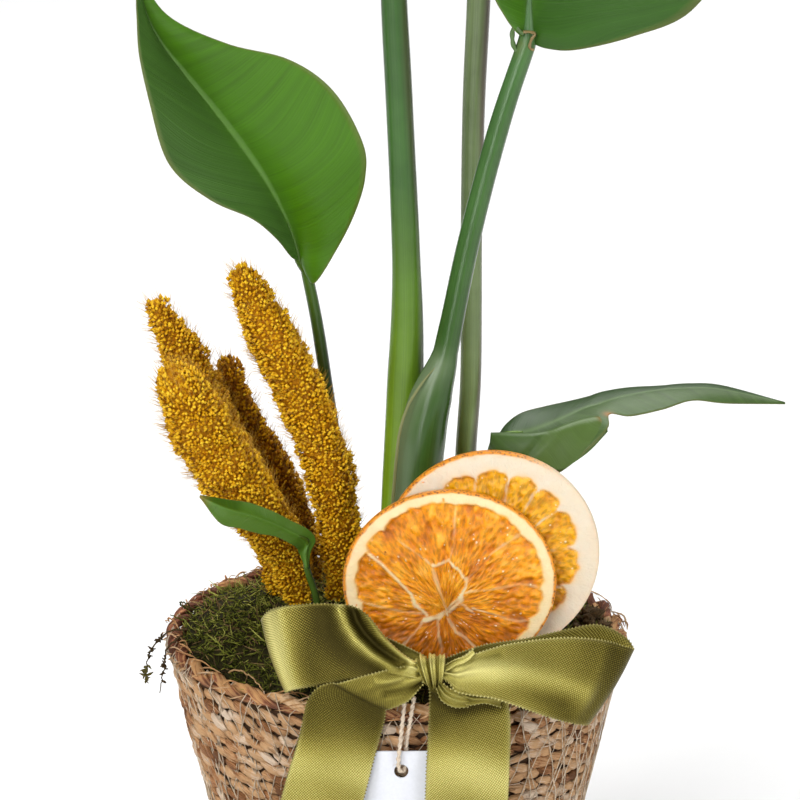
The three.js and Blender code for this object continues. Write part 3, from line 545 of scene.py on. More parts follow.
def set_camera():
    """Looks 17 degrees down along +Y with a long lens, 1.4 m from the point that fills the picture's middle."""
    pitch, distance = math.radians(17), 1.4
    middle = np.array([1.1, 0.0, 195.3]) * MM
    data = bpy.data.cameras.new("camera")
    data.lens = 200
    data.sensor_width = 36
    made = placed("camera", data)
    made.location = middle + distance * np.array([0, -math.cos(pitch), math.sin(pitch)])
    made.rotation_euler = (math.pi / 2 - pitch, 0, 0)
    bpy.context.scene.camera = made


def area_light(name, place, size, power):
    """A soft light, as wide and as high as its size says, that looks at the plant's middle."""
    data = bpy.data.lights.new(name, "AREA")
    data.shape = "RECTANGLE"
    data.size, data.size_y = size
    data.energy = power
    made = placed(name, data)
    made.location = place
    made.rotation_euler = (Vector((0, 0, 0.2)) - made.location).to_track_quat("-Z", "Y").to_euler()


def set_studio():
    """Large soft lights, a surround that is bright overhead and dim towards the horizon in front, and a plain
    pale floor."""
    area_light("key_light", (-1.1, -1.5, 1.7), (1.2, 1.0), 40)
    area_light("fill_light", (1.5, -1.3, 0.9), (1.2, 1.2), 18)
    area_light("top_light", (0.3, 1.4, 2.3), (1.8, 1.6), 64)
    area_light("strip_light", (-0.5, -1.9, 0.75), (0.12, 1.3), 11)
    world = bpy.data.worlds.new("studio")
    world.use_nodes = True
    sky = Nodes(world.node_tree)
    direction = sky.node("ShaderNodeTexCoord", {}, "Generated")
    height = sky.add(sky.times(sky.split(direction, 1), 0.25), sky.split(direction, 2))
    brightness = sky.add(sky.times(height, 0.95), 0.4)
    sky.tree.links.new(brightness, sky.tree.nodes["Background"].inputs["Strength"])
    bpy.context.scene.world = world
    bpy.context.scene.view_settings.view_transform = "Standard"
    half = 6.0
    mesh = bpy.data.meshes.new("floor")
    corners = [(-half, -half, 0), (half, -half, 0), (half, half, 0), (-half, half, 0)]
    mesh.from_pydata(corners, [], [(0, 1, 2, 3)])
    mesh.materials.append(plain_finish("pale_floor", (0.93, 0.93, 0.93), (0.95, 0.95, 0.95), 4.0, 0.9, 0.01))
    floor = placed("floor", mesh)


# String and tag

TWINE_ROUTE = [
    [2.6, -75.1, 123.7], [2.1, -75.1, 118.5], [1.5, -74.8, 112.5], [0.9, -74.5, 106.5], [0.6, -74.3, 102.5],
    [0.7, -74.1, 100.5], [1.1, -73.6, 99.3], [1.8, -72.8, 98.8], [2.5, -72, 99.3], [2.9, -71.5, 100.5],
    [3, -71.3, 102.5], [3, -71.5, 105.5], [3.2, -72.8, 109.5], [3.9, -74.4, 114], [4.6, -75, 119],
    [5.4, -75.1, 124.1],
]


def make_twine():
    """Two-ply jute: a round section with two lobes that turn once in 4.5 mm, along the string's route, and
    loose fibres that stand off it."""
    random = np.random.default_rng(5)
    steps, sides, lay, fibres = 150, 10, 4.5, 110
    path = route(TWINE_ROUTE, steps)
    run = np.linspace(0, run_along(path)[-1], steps)
    turn = 2 * np.pi * run / lay
    angle = full_turn(sides)
    radii = TWINE_RADIUS * (0.8 + 0.24 * np.cos(2 * (angle - turn[:, None])))
    points, faces, (_, step, side) = tubes(path, radii, sides)
    parts = [(points, faces, {"place": xyz(angle[side] - turn[step], run[step], 0)})]
    foot = path[random.integers(2, steps - 2, fibres)]
    way = unit(random.normal(size=(fibres, 3)) + [0, -0.3, 0])
    bend = random.normal(size=(fibres, 3)) * 0.5
    way = way * random.uniform(0.8, 2.0, (fibres, 1))
    sizes = np.full((fibres, 4), 0.045) * [1, 1, 0.8, 0.3]
    points, faces, _ = strands_from(foot, way, bend, np.linspace(0, 1, 4), sizes, 3)
    parts.append((points, faces, {"place": points}))
    twine = piece("twine", parts, jute_finish(), ["twine"])
    dress("tag", plain_finish("white_card", (0.66, 0.675, 0.72), (0.71, 0.725, 0.775), 900.0, 0.75, 0.02))


# Basket


def basket_radius(height):
    """The basket's outer radius at a height: a plain cone."""
    return BASKET_BASE_RADIUS + (BASKET_RIM_RADIUS - BASKET_BASE_RADIUS) * height / BASKET_HEIGHT


def tilted(first, second, slant):
    """Directions that lie at an angle from the first towards the second."""
    return first * np.cos(slant)[:, None] + second * np.sin(slant)[:, None]


def strand_beads(random, centre, along, out, length, width, depth, tone):
    """Short lengths of twisted grass: five rings along each, pointed at both ends and widest between, with
    sides that stand out unevenly. Each is bowed, so that its ends lie 0.4 mm deeper than its middle."""
    sides, total = 6, len(width)
    t = np.array([-1.0, -0.66, 0.05, 0.72, 1.0])
    swell = np.array([0.1, 0.78, 1.03, 0.74, 0.08])
    uneven = random.uniform(0.76, 1.18, (total, 1, sides)) * random.uniform(0.93, 1.07, (total, len(t), sides))
    radii = (width[:, None] * swell)[..., None] * uneven
    made = strands_from(centre, along * length[:, None], -0.4 * out, t, radii, sides, out[:, None], depth)
    points, faces, (bead, step, side) = made
    angle = full_turn(sides)[side]
    place = xyz(np.cos(angle) * width[bead] * MM, t[step] * length[bead] * MM, bead * 0.037)
    return points, faces, {"place": place, "tone": tone[bead]}


def slumped(points):
    """The wall bulges under the rim at the left: 1.1 mm * exp(-((height - 92) / 22)^2) on that side."""
    bulge = 1.1 * bell(points[:, 2] - 92, 22) * np.clip(-points[:, 0] / 60, 0, 1) ** 2
    radius = np.maximum(np.hypot(points[:, 0], points[:, 1]), 1)
    points[:, :2] *= (1 + bulge / radius)[:, None]
    points[:, 2] = np.maximum(points[:, 2], 0)
    return points


def wall_frame(angle, height, sunk):
    """Places sunk into the wall's surface, with their outward, sideways and upward directions."""
    out = polar(math.cos(WALL_SLOPE), angle, -math.sin(WALL_SLOPE))
    sideways = xyz(-np.sin(angle), np.cos(angle), 0)
    return polar(basket_radius(height) - sunk, angle, height), out, sideways, np.cross(out, sideways)


def wall_strands(random):
    """Coiled rows: in each row, pointed strands follow each other round the cone, each turned a little down
    to the right, as the twist of a grass cord shows."""
    angles, heights = [], []
    for row in range(COIL_ROWS):
        height = (row + 0.5) * ROW_HEIGHT
        count = round(2 * math.pi * basket_radius(height) / STRAND_PITCH)
        shift = random.uniform(0, 1) + random.uniform(-0.22, 0.22, count)
        angles.append((np.arange(count) + shift) / count * 2 * np.pi)
        heights.append(np.full(count, max(height, 2.4)))
    angle, height = np.concatenate(angles), np.concatenate(heights)
    total = len(angle)
    centre, out, sideways, up = wall_frame(angle, height, 1.2)
    slant = np.radians(random.normal(-17, 8, total))
    along = unit(tilted(sideways, up, slant) + out * random.normal(0, 0.06, (total, 1)))
    centre = centre + out * random.uniform(-0.35, 0.3, (total, 1)) + up * random.uniform(-0.35, 0.35, (total, 1))
    drift = 0.16 * np.sin(3 * angle + height / 7) + 0.12 * np.sin(11 * angle - height / 3) + 0.12 * np.cos(angle)
    tone = np.clip(random.normal(0.52, 0.24, total) + drift, 0, 1)
    length, width = random.uniform(3.1, 5.2, total), random.uniform(1.5, 2.25, total)
    return strand_beads(random, centre, along, out, length, width, 0.56, tone)


def wall_fibres(random):
    """Loose fibres over the wall, each bowed, so that its ends lie deeper than its middle."""
    count = 1000
    angle, height = random.uniform(0, 2 * np.pi, count), random.uniform(3, WALL_TOP - 2, count)
    centre, out, sideways, up = wall_frame(angle, height, 0.3)
    along = tilted(sideways, up, np.radians(random.normal(-20, 22, count)))
    along = along * random.uniform(1.6, 4.2, (count, 1))
    centre = centre + out * random.uniform(-0.1, 0.35, (count, 1))
    sizes = random.uniform(0.1, 0.26, (count, 1)) * [0.3, 1, 0.9, 0.2]
    points, faces, index = strands_from(centre, along, -0.35 * out, [-1.0, -0.3, 0.4, 1.0], sizes, 3)
    fibre, step, side = index
    tone = random.uniform(0.25, 1.0, count)[fibre]
    return points, faces, {"place": xyz(side * 0.3, step * 1.2, fibre) * MM, "tone": tone}


def base_coil(random):
    """The flat base: ten rings of the same strands, each turned a little inwards."""
    rings = 3.5 + 4.05 * np.arange(10)
    counts = [max(round(2 * math.pi * ring / STRAND_PITCH), 5) for ring in rings]
    angle, radius = np.concatenate([full_turn(count) for count in counts]), np.repeat(rings, counts)
    total = len(angle)
    slant = np.radians(random.normal(15, 5, total))
    along = tilted(xyz(-np.sin(angle), np.cos(angle), 0), -polar(1.0, angle), slant)
    length = np.minimum(random.uniform(3.2, 4.2, total), radius * 0.9)
    width, tone = random.uniform(1.6, 2.0, total), random.uniform(0.25, 0.75, total)
    down = np.tile([0.0, 0.0, -1.0], (total, 1))
    return strand_beads(random, polar(radius, angle, 1.5), along, down, length, width, 0.5, tone)


def wall_backing():
    """A plain wall behind the strands, which closes the gaps between them: its closed profile is turned about
    +Z. It is dark outside, painted shade for the gaps between the strands; inside it is a little darkened by
    painted shade, and the rows show as ripples."""
    segments = 60
    outer = np.linspace(0, 1, 31) * WALL_TOP
    inner = outer[::-1]
    radii = [0, BASKET_BASE_RADIUS - 4, *(basket_radius(outer) - 2.3), *(basket_radius(inner) - BASKET_WALL), 0]
    heights = [1.2, 1.2, *np.maximum(outer, 1.6), *np.maximum(inner, BASKET_WALL), BASKET_WALL]
    points = polar(np.array(radii)[:, None], full_turn(segments), np.array(heights)[:, None]).reshape(-1, 3)
    ripples = 0.5 * np.sin(points[:, 2] * 2 * np.pi / ROW_HEIGHT)
    inside = np.hypot(points[:, 0], points[:, 1]) < basket_radius(points[:, 2]) - 3.2
    points[:, :2] *= 1 - (ripples * inside / 60)[:, None]
    # Painted shade: dark outside for the gaps between strands, a little inside.
    values = {"place": points * MM, "tone": 0.45, "hollow": np.where(inside, 0.15, 0.92)}
    return points, grid_faces(len(radii), segments, wrap=True), values


def make_basket_wall():
    """The coiled wall with its loose fibres, its base and the plain wall behind."""
    random = np.random.default_rng(1)
    parts = [wall_strands(random), wall_fibres(random), base_coil(random), wall_backing()]
    parts = [(slumped(points), faces, values) for points, faces, values in parts]
    finish = grass_finish("coiled_grass", (0.78, 0.62, 0.47), (0.6, 0.35, 0.17), (0.36, 0.15, 0.055))
    piece("basket_wall", parts, finish, ["basket_wall"])


# Sets of sewing threads, each as its lean and its share of the full number; the small ones lie at the left
THREAD_SETS = ((-1, 1.0), (1, 0.75), (-1.7, 0.22), (0.4, 0.2))


def make_basket_stitching():
    """Two sets of thin threads that run down the wall to the left and to the right: each passes from row to
    row, over the crest of every row, and the upper ends wrap over the rim. At the left, more of them show."""
    random = np.random.default_rng(2)
    rows = np.arange(COIL_ROWS + 3)
    top = rows >= COIL_ROWS
    climb = np.where(top, rows - COIL_ROWS + 0.6, 0) / 2.6
    height = np.minimum((rows + 0.5) * ROW_HEIGHT, WALL_TOP)
    over = RING_RADIUS + (RIM_CORD_RADIUS + 0.12) * np.cos(climb * 1.45)
    reach = np.where(top, over, basket_radius(height) + 0.15)
    height = np.where(top, WALL_TOP + climb * (BASKET_HEIGHT - WALL_TOP) * 0.93, height)
    parts = []
    for lean, share in THREAD_SETS:
        count = round(THREADS * share)
        start = (np.arange(count) + random.uniform(-0.35, 0.35, count)) / count * 2 * np.pi
        if share < 0.5:
            start = np.pi + random.normal(0, 0.5, count)
        wander = np.cumsum(random.normal(0, 0.008, (count, len(rows))), axis=1)
        angle = start[:, None] + lean * 0.019 * rows + wander
        radius = reach + random.uniform(-0.25, 0.15, (count, len(rows)))
        sizes = THREAD_RADIUS * random.uniform(0.7, 1.3, (count, 1)) * np.ones(len(rows))
        points, faces, _ = tubes(polar(radius, angle, height), sizes, 3)
        parts.append((points, faces, {}))
    piece("basket_stitching", parts, thread_finish())


def rim_strand(random, strand):
    """One of the two strands of the rim's cord: its centre is the ring + 1.45 mm at an angle that turns 16
    times round it. It is a bundle of blades, lobes that run along it, and it narrows where it dives."""
    steps, sides = 640, 18
    turn = np.linspace(0, 2 * np.pi, steps)
    away = tilted(polar(1.0, turn), np.array([0.0, 0.0, 1.0]), strand * np.pi - RIM_CORD_TURNS * turn)
    path = polar(RING_RADIUS, turn, RING_HEIGHT) + 1.45 * away
    path[-1] = path[0]
    narrow = 0.5 + 0.5 * np.sin(turn * RIM_CORD_TURNS + strand * np.pi + 0.7)
    size = 1.7 + 0.12 * np.sin(37 * turn + strand) - 0.5 * narrow**5
    angle, start = full_turn(sides), turn[:, None]
    lobes = 1 + 0.1 * np.cos(5 * angle + 9 * start) + 0.06 * np.cos(8 * angle - 21 * start)
    points, faces, (_, step, side) = tubes(path, size[:, None] * lobes, sides, away, 0.9)
    bundle = np.floor(turn * RIM_CORD_TURNS / np.pi + strand).astype(int)
    # Painted shade: the strand darkens where it dives under the other, and the cord's back half and a little of
    # its left side are darker.
    tone = random.normal(0.5, 0.2, bundle.max() + 1)[bundle] - 0.35 * narrow**4
    tone = tone - 0.4 * ramp_between(np.sin(turn - 0.7), -0.1, 0.8)
    tone = tone[step] + 0.14 * np.sin(5 * angle[side] + 9 * turn[step])
    place = xyz(np.cos(angle[side]) * 1.8, turn[step] * RING_RADIUS, strand) * MM
    return points, faces, {"place": place, "tone": np.clip(tone, 0, 1), "hollow": 0.5 * (narrow**8)[step]}


def rim_blades(random):
    """Loose blades over the rim: each follows the cord for a little way, and lifts by a sine squared."""
    count = 130
    start = random.uniform(0, 2 * np.pi, count)
    t = np.linspace(0, 1, 7)
    sweep = start[:, None] + random.uniform(0.04, 0.16, (count, 1)) * t
    reach = RIM_CORD_RADIUS + 0.05 + random.uniform(0.1, 1.3, (count, 1)) * np.sin(np.pi * t) ** 2
    tilt = random.uniform(-0.7, 1.6, (count, 1)) + 0.9 * t
    height = np.minimum(RING_HEIGHT + reach * np.sin(tilt), BASKET_HEIGHT + 2.5)
    paths = polar(RING_RADIUS + reach * np.cos(tilt), sweep, height)
    sizes = random.uniform(0.14, 0.34, (count, 1)) * [0.2, 0.8, 1, 1, 1, 0.8, 0.2]
    points, faces, (blade, step, side) = tubes(paths, sizes, 4)
    tone = random.uniform(0.3, 1.1, count)[blade]
    return points, faces, {"place": xyz(side * 0.4, step * 1.5, blade) * MM, "tone": tone}


def make_basket_rim():
    """A cord of two strands that wind about the ring of the rim, with loose blades over it."""
    random = np.random.default_rng(3)
    parts = [rim_strand(random, 0), rim_strand(random, 1), rim_blades(random)]
    finish = grass_finish("rim_grass", (0.74, 0.5, 0.29), (0.6, 0.32, 0.13), (0.32, 0.11, 0.055))
    piece("basket_rim", parts, finish, ["basket_rim"])


# Moss


def moss_height(radius, angle):
    """Height of the moss: highest in the middle, lower at the rim, in low lumps."""
    share = radius / MOSS_RADIUS
    lumps = np.sin(3 * angle + 0.6 + 4 * share) + 0.8 * np.sin(7 * angle - 5 * share)
    return MOSS_CENTRE_HEIGHT - MOSS_EDGE_DROP * share**3 + MOSS_LUMP * lumps * share


def moss_bed():
    """The lumpy bed that the shoots stand on: a plain foot, a skirt, and rings inwards from the rim."""
    rings, around, foot = 30, 90, [0, 0, 112.4]
    radius = MOSS_RADIUS * np.sqrt(np.linspace(0.0004, 1, rings))[::-1, None]
    angle = full_turn(around)
    bumps = 0.5 * np.sin(0.9 * radius + 17 * angle) * np.sin(23 * angle - 0.4 * radius)
    bed = polar(radius, angle, moss_height(radius, angle) - MOSS_BED_DEPTH + bumps)
    bed = np.concatenate([np.full((1, around, 3), foot), bed[:1] * [0.99, 0.99, 0] + foot, bed])
    return bed.reshape(-1, 3), grid_faces(rings + 2, around, wrap=True), {"tone": 0.02, "dry": 0.3}


def moss_shoots(random):
    """Short bent shoots that lie in all directions; some clumps are brown. Each is a tapered strand whose
    centre line is its foot + length * (direction * t + bend * t squared)."""
    count = MOSS_SHOOTS
    radius = (MOSS_RADIUS + 0.6) * np.sqrt(random.uniform(0, 1, count))
    angle = random.uniform(0, 2 * np.pi, count)
    foot = polar(radius, angle, moss_height(radius, angle) - MOSS_BED_DEPTH)
    heading = random.uniform(0, 2 * np.pi, count)
    rise = np.radians(random.triangular(-8, 12, 50, count))
    way = polar(np.cos(rise), heading, np.sin(rise))
    length = random.uniform(1.6, 4.4, (count, 1))
    bend = random.normal(0, 0.45, (count, 3)) - [0, 0, 0.12]
    sizes = random.uniform(0.13, 0.32, (count, 1)) * [0.75, 1.0, 0.2]
    x, y = foot[:, 0], foot[:, 1]
    clump = 0.5 + 0.5 * np.sin(x / 5.1 + 1.3 * np.sin(y / 6.3)) * np.sin(y / 4.3 + x / 9)
    tone = np.clip(random.normal(0.33, 0.2, count) + 0.3 * (clump - 0.5) + y / 380 + 0.07, 0, 1)
    dry = 0.9 * (random.uniform(0, 1, count) < 0.1 + 0.5 * (clump < 0.16))
    t = np.array([0, 0.55, 1.0])
    points, faces, (shoot, step, _) = strands_from(foot, length * way, length * bend, t, sizes, 3)
    return points, faces, {"tone": tone[shoot], "dry": dry[shoot], "tip": t[step]}


def make_moss():
    """The bed with its shoots, the lump of bark at the right and the sprigs at the left."""
    random = np.random.default_rng(4)
    parts = [moss_bed(), moss_shoots(random), make_bark(random), *make_twigs(random)]
    piece("moss", parts, moss_finish(), ["moss"])


def make_bark(random):
    """A crumbly lump of dark bark at the right: short flat chips thrown about one place."""
    count = 60
    centre = np.array([62.0, -1.0, 121.5]) + random.normal(0, 1, (count, 3)) * [2.6, 6.0, 1.9]
    way = unit(random.normal(0, 1, (count, 3)))
    t = np.array([-1, -0.5, 0.1, 0.6, 1.0])
    paths = centre[:, None] + way[:, None] * (t * random.uniform(1.2, 3.2, (count, 1)))[..., None]
    paths = paths + random.normal(0, 0.25, paths.shape)
    sizes = random.uniform(0.5, 1.3, (count, 1)) * [0.4, 1, 1.1, 0.8, 0.25]
    points, faces, _ = tubes(paths, sizes, 5, None, 0.7)
    return points, faces, {"tone": 0.2, "dry": 0.95, "tip": 0.0}


# Sprigs at the left, and last a grass blade. A bunch of scales is its step along the sprig, spread, count,
# length, tone and dryness.
TWIGS = [
    {
        "route": [[-66, -12, 123], [-71.2, -12.6, 122.6], [-75, -14, 120.6], [-78.1, -15, 116.4],
                  [-79, -16, 112.7], [-79.8, -16, 107.5]],
        "size": 0.36, "tone": 0.12, "dry": 0.75,
        "scales": [(9.5, 1.0, 16, 1.5, 0.06, 0.9), (14, 1.2, 9, 1.1, 0.1, 0.6), (19.5, 1.4, 22, 2.1, 0.4, 0.35)],
    },
    {
        "route": [[-68, -15, 122], [-72.4, -16.4, 118.5], [-73.6, -17.2, 113], [-74.2, -17.6, 108.5],
                  [-75.1, -18, 103.6]],
        "size": 0.36, "tone": 0.1, "dry": 0.85,
        "scales": [(11, 1.3, 14, 1.5, 0.1, 0.9), (15, 1.4, 8, 1.1, 0.1, 0.8)],
    },
    {
        "route": [[-67, 4, 124], [-69, 1, 126.5], [-68.5, -1.5, 128.6], [-66.6, -1.2, 127.6],
                  [-66.2, 0.4, 125.6]],
        "size": 0.36, "tone": 0.35, "dry": 0.0, "scales": [],
    },
    {
        "route": [[-67, -2, 122], [-70, -3, 123.4], [-72, -4, 125]],
        "size": 0.36, "tone": 0.4, "dry": 0.1, "scales": [],
    },
    {
        "route": [[-52, -46, 121], [-49.5, -49.5, 123.2], [-44.5, -54, 122.6], [-40.5, -58.5, 118.5],
                  [-38.6, -61, 114]],
        "size": 0.32, "tone": 1.0, "dry": 1.0, "scales": [],
    },
]


def make_twigs(random):
    """Thin dry sprigs that hang over the rim at the left, with bunches of tiny scales, and a grass blade."""
    steps, parts = 22, []
    for twig in TWIGS:
        path = route(twig["route"], steps)
        path[1:-1] += random.normal(0, 0.16, (steps - 2, 3))
        points, faces, _ = tubes(path, np.linspace(1, 0.45, steps) * twig["size"], 5)
        parts.append((points, faces, {"tone": twig["tone"], "dry": twig["dry"], "tip": 0.1}))
        for where, about, count, length, tone, dry in twig["scales"]:
            foot = path[np.clip(random.normal(where, about, count), 1, steps - 1).astype(int)]
            way = unit(random.normal(0, 1, (count, 3)) + [0, 0, -0.5])
            way = way * length * random.uniform(0.5, 1.3, (count, 1))
            scales = foot[:, None] + way[:, None] * np.array([0, 0.45, 1.0])[:, None]
            scales = scales + random.normal(0, 0.15, (count, 3, 3))
            points, faces, _ = tubes(scales, random.uniform(0.25, 0.5, (count, 1)) * [0.6, 1, 0.2], 4)
            parts.append((points, faces, {"tone": tone, "dry": dry, "tip": 0.1}))
    return parts


# Stems: each route starts on the crown, and its radii run from foot to leaf

CROWN_TOP = 97.3

# Each stem's colours are its foot, middle, top and side colour; the side colour, on its +X side, is partly a
# brown edge that it has and partly painted shade.
STEMS = {
    "stem_tall_left": {
        "points": [[0, 9, CROWN_TOP], [0, 9, 123], [1, 9, 154], [2.5, 9, 192.5], [3.3, 10, 225], [0.8, 10, 290],
                   [-0.8, 10, 321.5], [-1.8, 11, 358.5], [-3.5, 12.5, 409.5]],
        "radii": [5.6, 6.1, 6.1, 5.75, 4.5, 4.25, 4.2, 3.9, 3.6, 3.3],
        "colours": [(0.22, 0.36, 0.012), (0.041, 0.112, 0.019), (0.024, 0.066, 0.019), (0.05, 0.06, 0.018)],
        "brown_and_shaded_side_share": 0.75, "joint": 30, "behind": 0.6,
    },
    "stem_tall_back": {
        "points": [[21, 27, CROWN_TOP], [21, 27, 119], [22.3, 28, 169], [23.7, 28.5, 192], [23.9, 29, 218],
                   [23.8, 29.3, 242], [24.4, 30, 285], [25.7, 30, 317], [27, 32, 373.5], [28, 33, 395]],
        "radii": [3.6, 3.5, 3.4, 3.4, 3.4, 3.5, 3.65, 3.75, 3.5, 3.1],
        "colours": [(0.36, 0.49, 0.19), (0.11, 0.155, 0.062), (0.2, 0.26, 0.12), (0.085, 0.06, 0.04)],
        "brown_and_shaded_side_share": 0.85, "joint": 26, "behind": 0.6,
    },
    "stem_right": {
        "points": [[4.4, -1, CROWN_TOP], [4.5, -1, 127], [6.6, -1, 168], [7.5, -1, 180], [9.2, -0.6, 190],
                   [11.6, 0, 199], [14.6, 0.8, 207.5], [16.8, 1.8, 217.7], [22.7, 5.3, 246], [32.6, 11, 283.2],
                   [40.4, 15.4, 306.2]],
        "radii": [7, 7.1, 7.2, 7.3, 7.4, 7.6, 7.6, 6.6, 3.95, 3.65, 3.55, 3.45, 3.35, 3.3, 3.1, 3],
        "colours": [(0.037, 0.09, 0.01), (0.032, 0.085, 0.014), (0.072, 0.165, 0.05), (0.03, 0.05, 0.012)],
        "brown_and_shaded_side_share": 0.2, "joint": 15, "behind": 0.1,
    },
    "stem_left": {
        "points": [[-14.5, 31, CROWN_TOP], [-14.5, 31, 117.5], [-16.8, 31, 152], [-19.9, 30, 172.5],
                   [-22.3, 29, 190], [-25.7, 27.6, 214], [-28.8, 26, 230.8]],
        "radii": [1.9, 1.9, 1.9, 2, 2, 1.8],
        "colours": [(0.05, 0.08, 0.015), (0.03, 0.055, 0.012), (0.06, 0.14, 0.015), (0.03, 0.02, 0.01)],
        "brown_and_shaded_side_share": 0.5, "joint": 16, "behind": 0.9,
    },
    "stem_low_right": {
        "points": [[22.5, 12, CROWN_TOP], [22.5, 12, 122], [26, 13, 152], [29.5, 14, 169], [31.6, 14, 177.3]],
        "radii": [2.3, 2.1, 2, 1.7],
        "colours": [(0.1, 0.15, 0.03), (0.09, 0.15, 0.03), (0.11, 0.2, 0.02), (0.06, 0.07, 0.02)],
        "brown_and_shaded_side_share": 0.3, "joint": 8, "behind": 0.6,
    },
    "stem_small_front": {
        "points": [[-24.5, -6, CROWN_TOP], [-24.5, -6, 122], [-25.6, -6, 131.6], [-28.3, -6, 141],
                   [-28.8, -6.1, 146.2]],
        "radii": [1.3, 1.2, 1.1, 1.1],
        "colours": [(0.05, 0.08, 0.012), (0.05, 0.1, 0.01), (0.09, 0.16, 0.012), (0.03, 0.04, 0.01)],
        "brown_and_shaded_side_share": 0.4, "joint": 9, "behind": 0.6,
    },
}

# The free edge of the sheath, from its top down across the tall left stem
SHEATH_EDGE = [
    [12.6, -3.4, 207.5], [9, -5, 203.7], [6.1, -6.2, 199.8], [3.8, -7.2, 196], [2, -8.1, 191.2],
    [0.8, -8.6, 186.1], [0, -8.7, 178.9], [-0.6, -8.6, 171.9], [-1.4, -8.4, 160], [-2.2, -8.2, 140],
]

# Where the right stem meets its blade: a thin loop at its left, and a brown crust across it
LEAF_LOOP = [[38.2, 14, 303], [36.4, 13.4, 306.2], [35.9, 12.9, 309], [36.1, 12.7, 311.4], [36.9, 12.8, 312.4],
             [38, 12.8, 311.2], [39.6, 12.6, 310.2]]
LEAF_CRUST = [[39.3, 12.2, 310.9], [41.6, 12.0, 310.9], [43, 12.2, 310.2], [42, 12.1, 308.8], [41.4, 12.2, 307],
              [41.4, 12.4, 305.8], [42.6, 12.8, 305]]


def leaf_foot():
    """The loop and the crust, as short strands of uneven thickness."""
    steps, parts = 30, []
    for line, size, dry in ((LEAF_LOOP, 0.95, 0.1), (LEAF_CRUST, 0.6, 0.8)):
        width = size * (0.8 + 0.12 * np.sin(np.arange(steps) * 0.9))
        points, faces, (_, step, _) = tubes(route(line, steps), width, 7)
        parts.append((points, faces, {"place": xyz(0.3, step * 2.0, 0), "dry": dry}))
    return parts


def clasp(points, inner, gap):
    """Moves points that lie inside the inner stem's tube out to its surface, at their own height."""
    line = route(inner["points"], 60)
    middle = read_at(points[:, 2], line[:, 2], line[:, :2])
    reach = np.interp(points[:, 2], line[:, 2], spread(inner["radii"], 60)) + gap
    away = points[:, :2] - middle
    inside = np.linalg.norm(away, axis=1) < reach
    points[inside, :2] = middle[inside] + unit(away[inside]) * reach[inside, None]


def sheath(points, values):
    """The right stem's foot is a sheath that closes about the tall left stem, with bloom along its free edge.
    The edge is a thin pale strip, which is given back with the pieces at the leaf's foot."""
    values["dry"] = 0.3 * spot(points, [37.5, 12.5, 306.5], 2.2)
    clasp(points, STEMS["stem_tall_left"], 0.15)
    fold = line_distance(points[:, [0, 2]], np.array(SHEATH_EDGE)[:, [0, 2]])
    values["bloom"] = 0.6 * bell(fold, 4.5) * (points[:, 1] < 0)
    steps = 60
    size = np.linspace(0.4, 0.7, steps)
    size[:8] *= np.linspace(0.3, 1, 8)
    strip, faces, (_, step, _) = tubes(route(SHEATH_EDGE, steps), size, 8, np.array([0.25, -1.0, 0.0]), 0.3)
    return [(strip, faces, {"place": xyz(0.3, step * 3.0, 0), "pale": 0.5}), *leaf_foot()]


def behind_midrib(stem, sections):
    """Points up a blade's midrib for as long as the stem's joint, and behind it by a share of the stem's
    radius that shrinks upwards."""
    sections = np.asarray(sections, float)
    midrib = smooth(sections[:, 1], 88)
    back = unit(np.cross(midrib[6] - sections[1, 0], sections[1, 2] - sections[1, 0]))
    run = np.linalg.norm(midrib - midrib[0], axis=1)
    points = read_at(np.linspace(0.12, 1, 4) * stem["joint"], run[:40], midrib[:40])
    return points + back * np.linspace(0.5, 0.1, 4)[:, None] * stem["radii"][-1] * stem["behind"]


def make_stem(name, stem, sections):
    """A stalk along its route, with faint long ridges; it runs on up its leaf's midrib as a taper."""
    sides, steps, more = 28, 72, 14
    path = route(stem["points"], steps)
    path = np.concatenate([path, route([path[-1], *behind_midrib(stem, sections)], more + 1)[1:]])
    radii = np.concatenate([spread(stem["radii"], steps), stem["radii"][-1] * np.linspace(0.97, 0.28, more)])
    angle = full_turn(sides)
    ridges = 1 + 0.008 * np.cos(9 * angle) + 0.006 * np.cos(14 * angle + 1)
    points, faces, (_, step, side) = tubes(path, radii[:, None] * ridges, sides)
    place = xyz(np.abs(side / sides * 2 - 1), step / (steps + more - 1) * 200, 0)
    away = (points - path[step]) / radii[step, None]
    # Painted shade, partly a real brown edge: darker down the stem's +X side, the side turned from the light.
    blush = ramp_between(away[:, 0] + 0.25 * np.sin(points[:, 2] / 21), 0.45, 1.0) * stem["brown_and_shaded_side_share"]
    values = {"place": place, "blush": blush, "pale": 0.0, "dry": 0.0}
    parts = [(points, faces, values)]
    if name == "stem_right":
        parts += sheath(points, values)
    finish = stem_finish(name + "_green", *stem["colours"], max(path[:, 2].max(), 160))
    piece(name, parts, finish, [name])


# Leaf blades: each row of a table is one section, as left margin, midrib and right margin

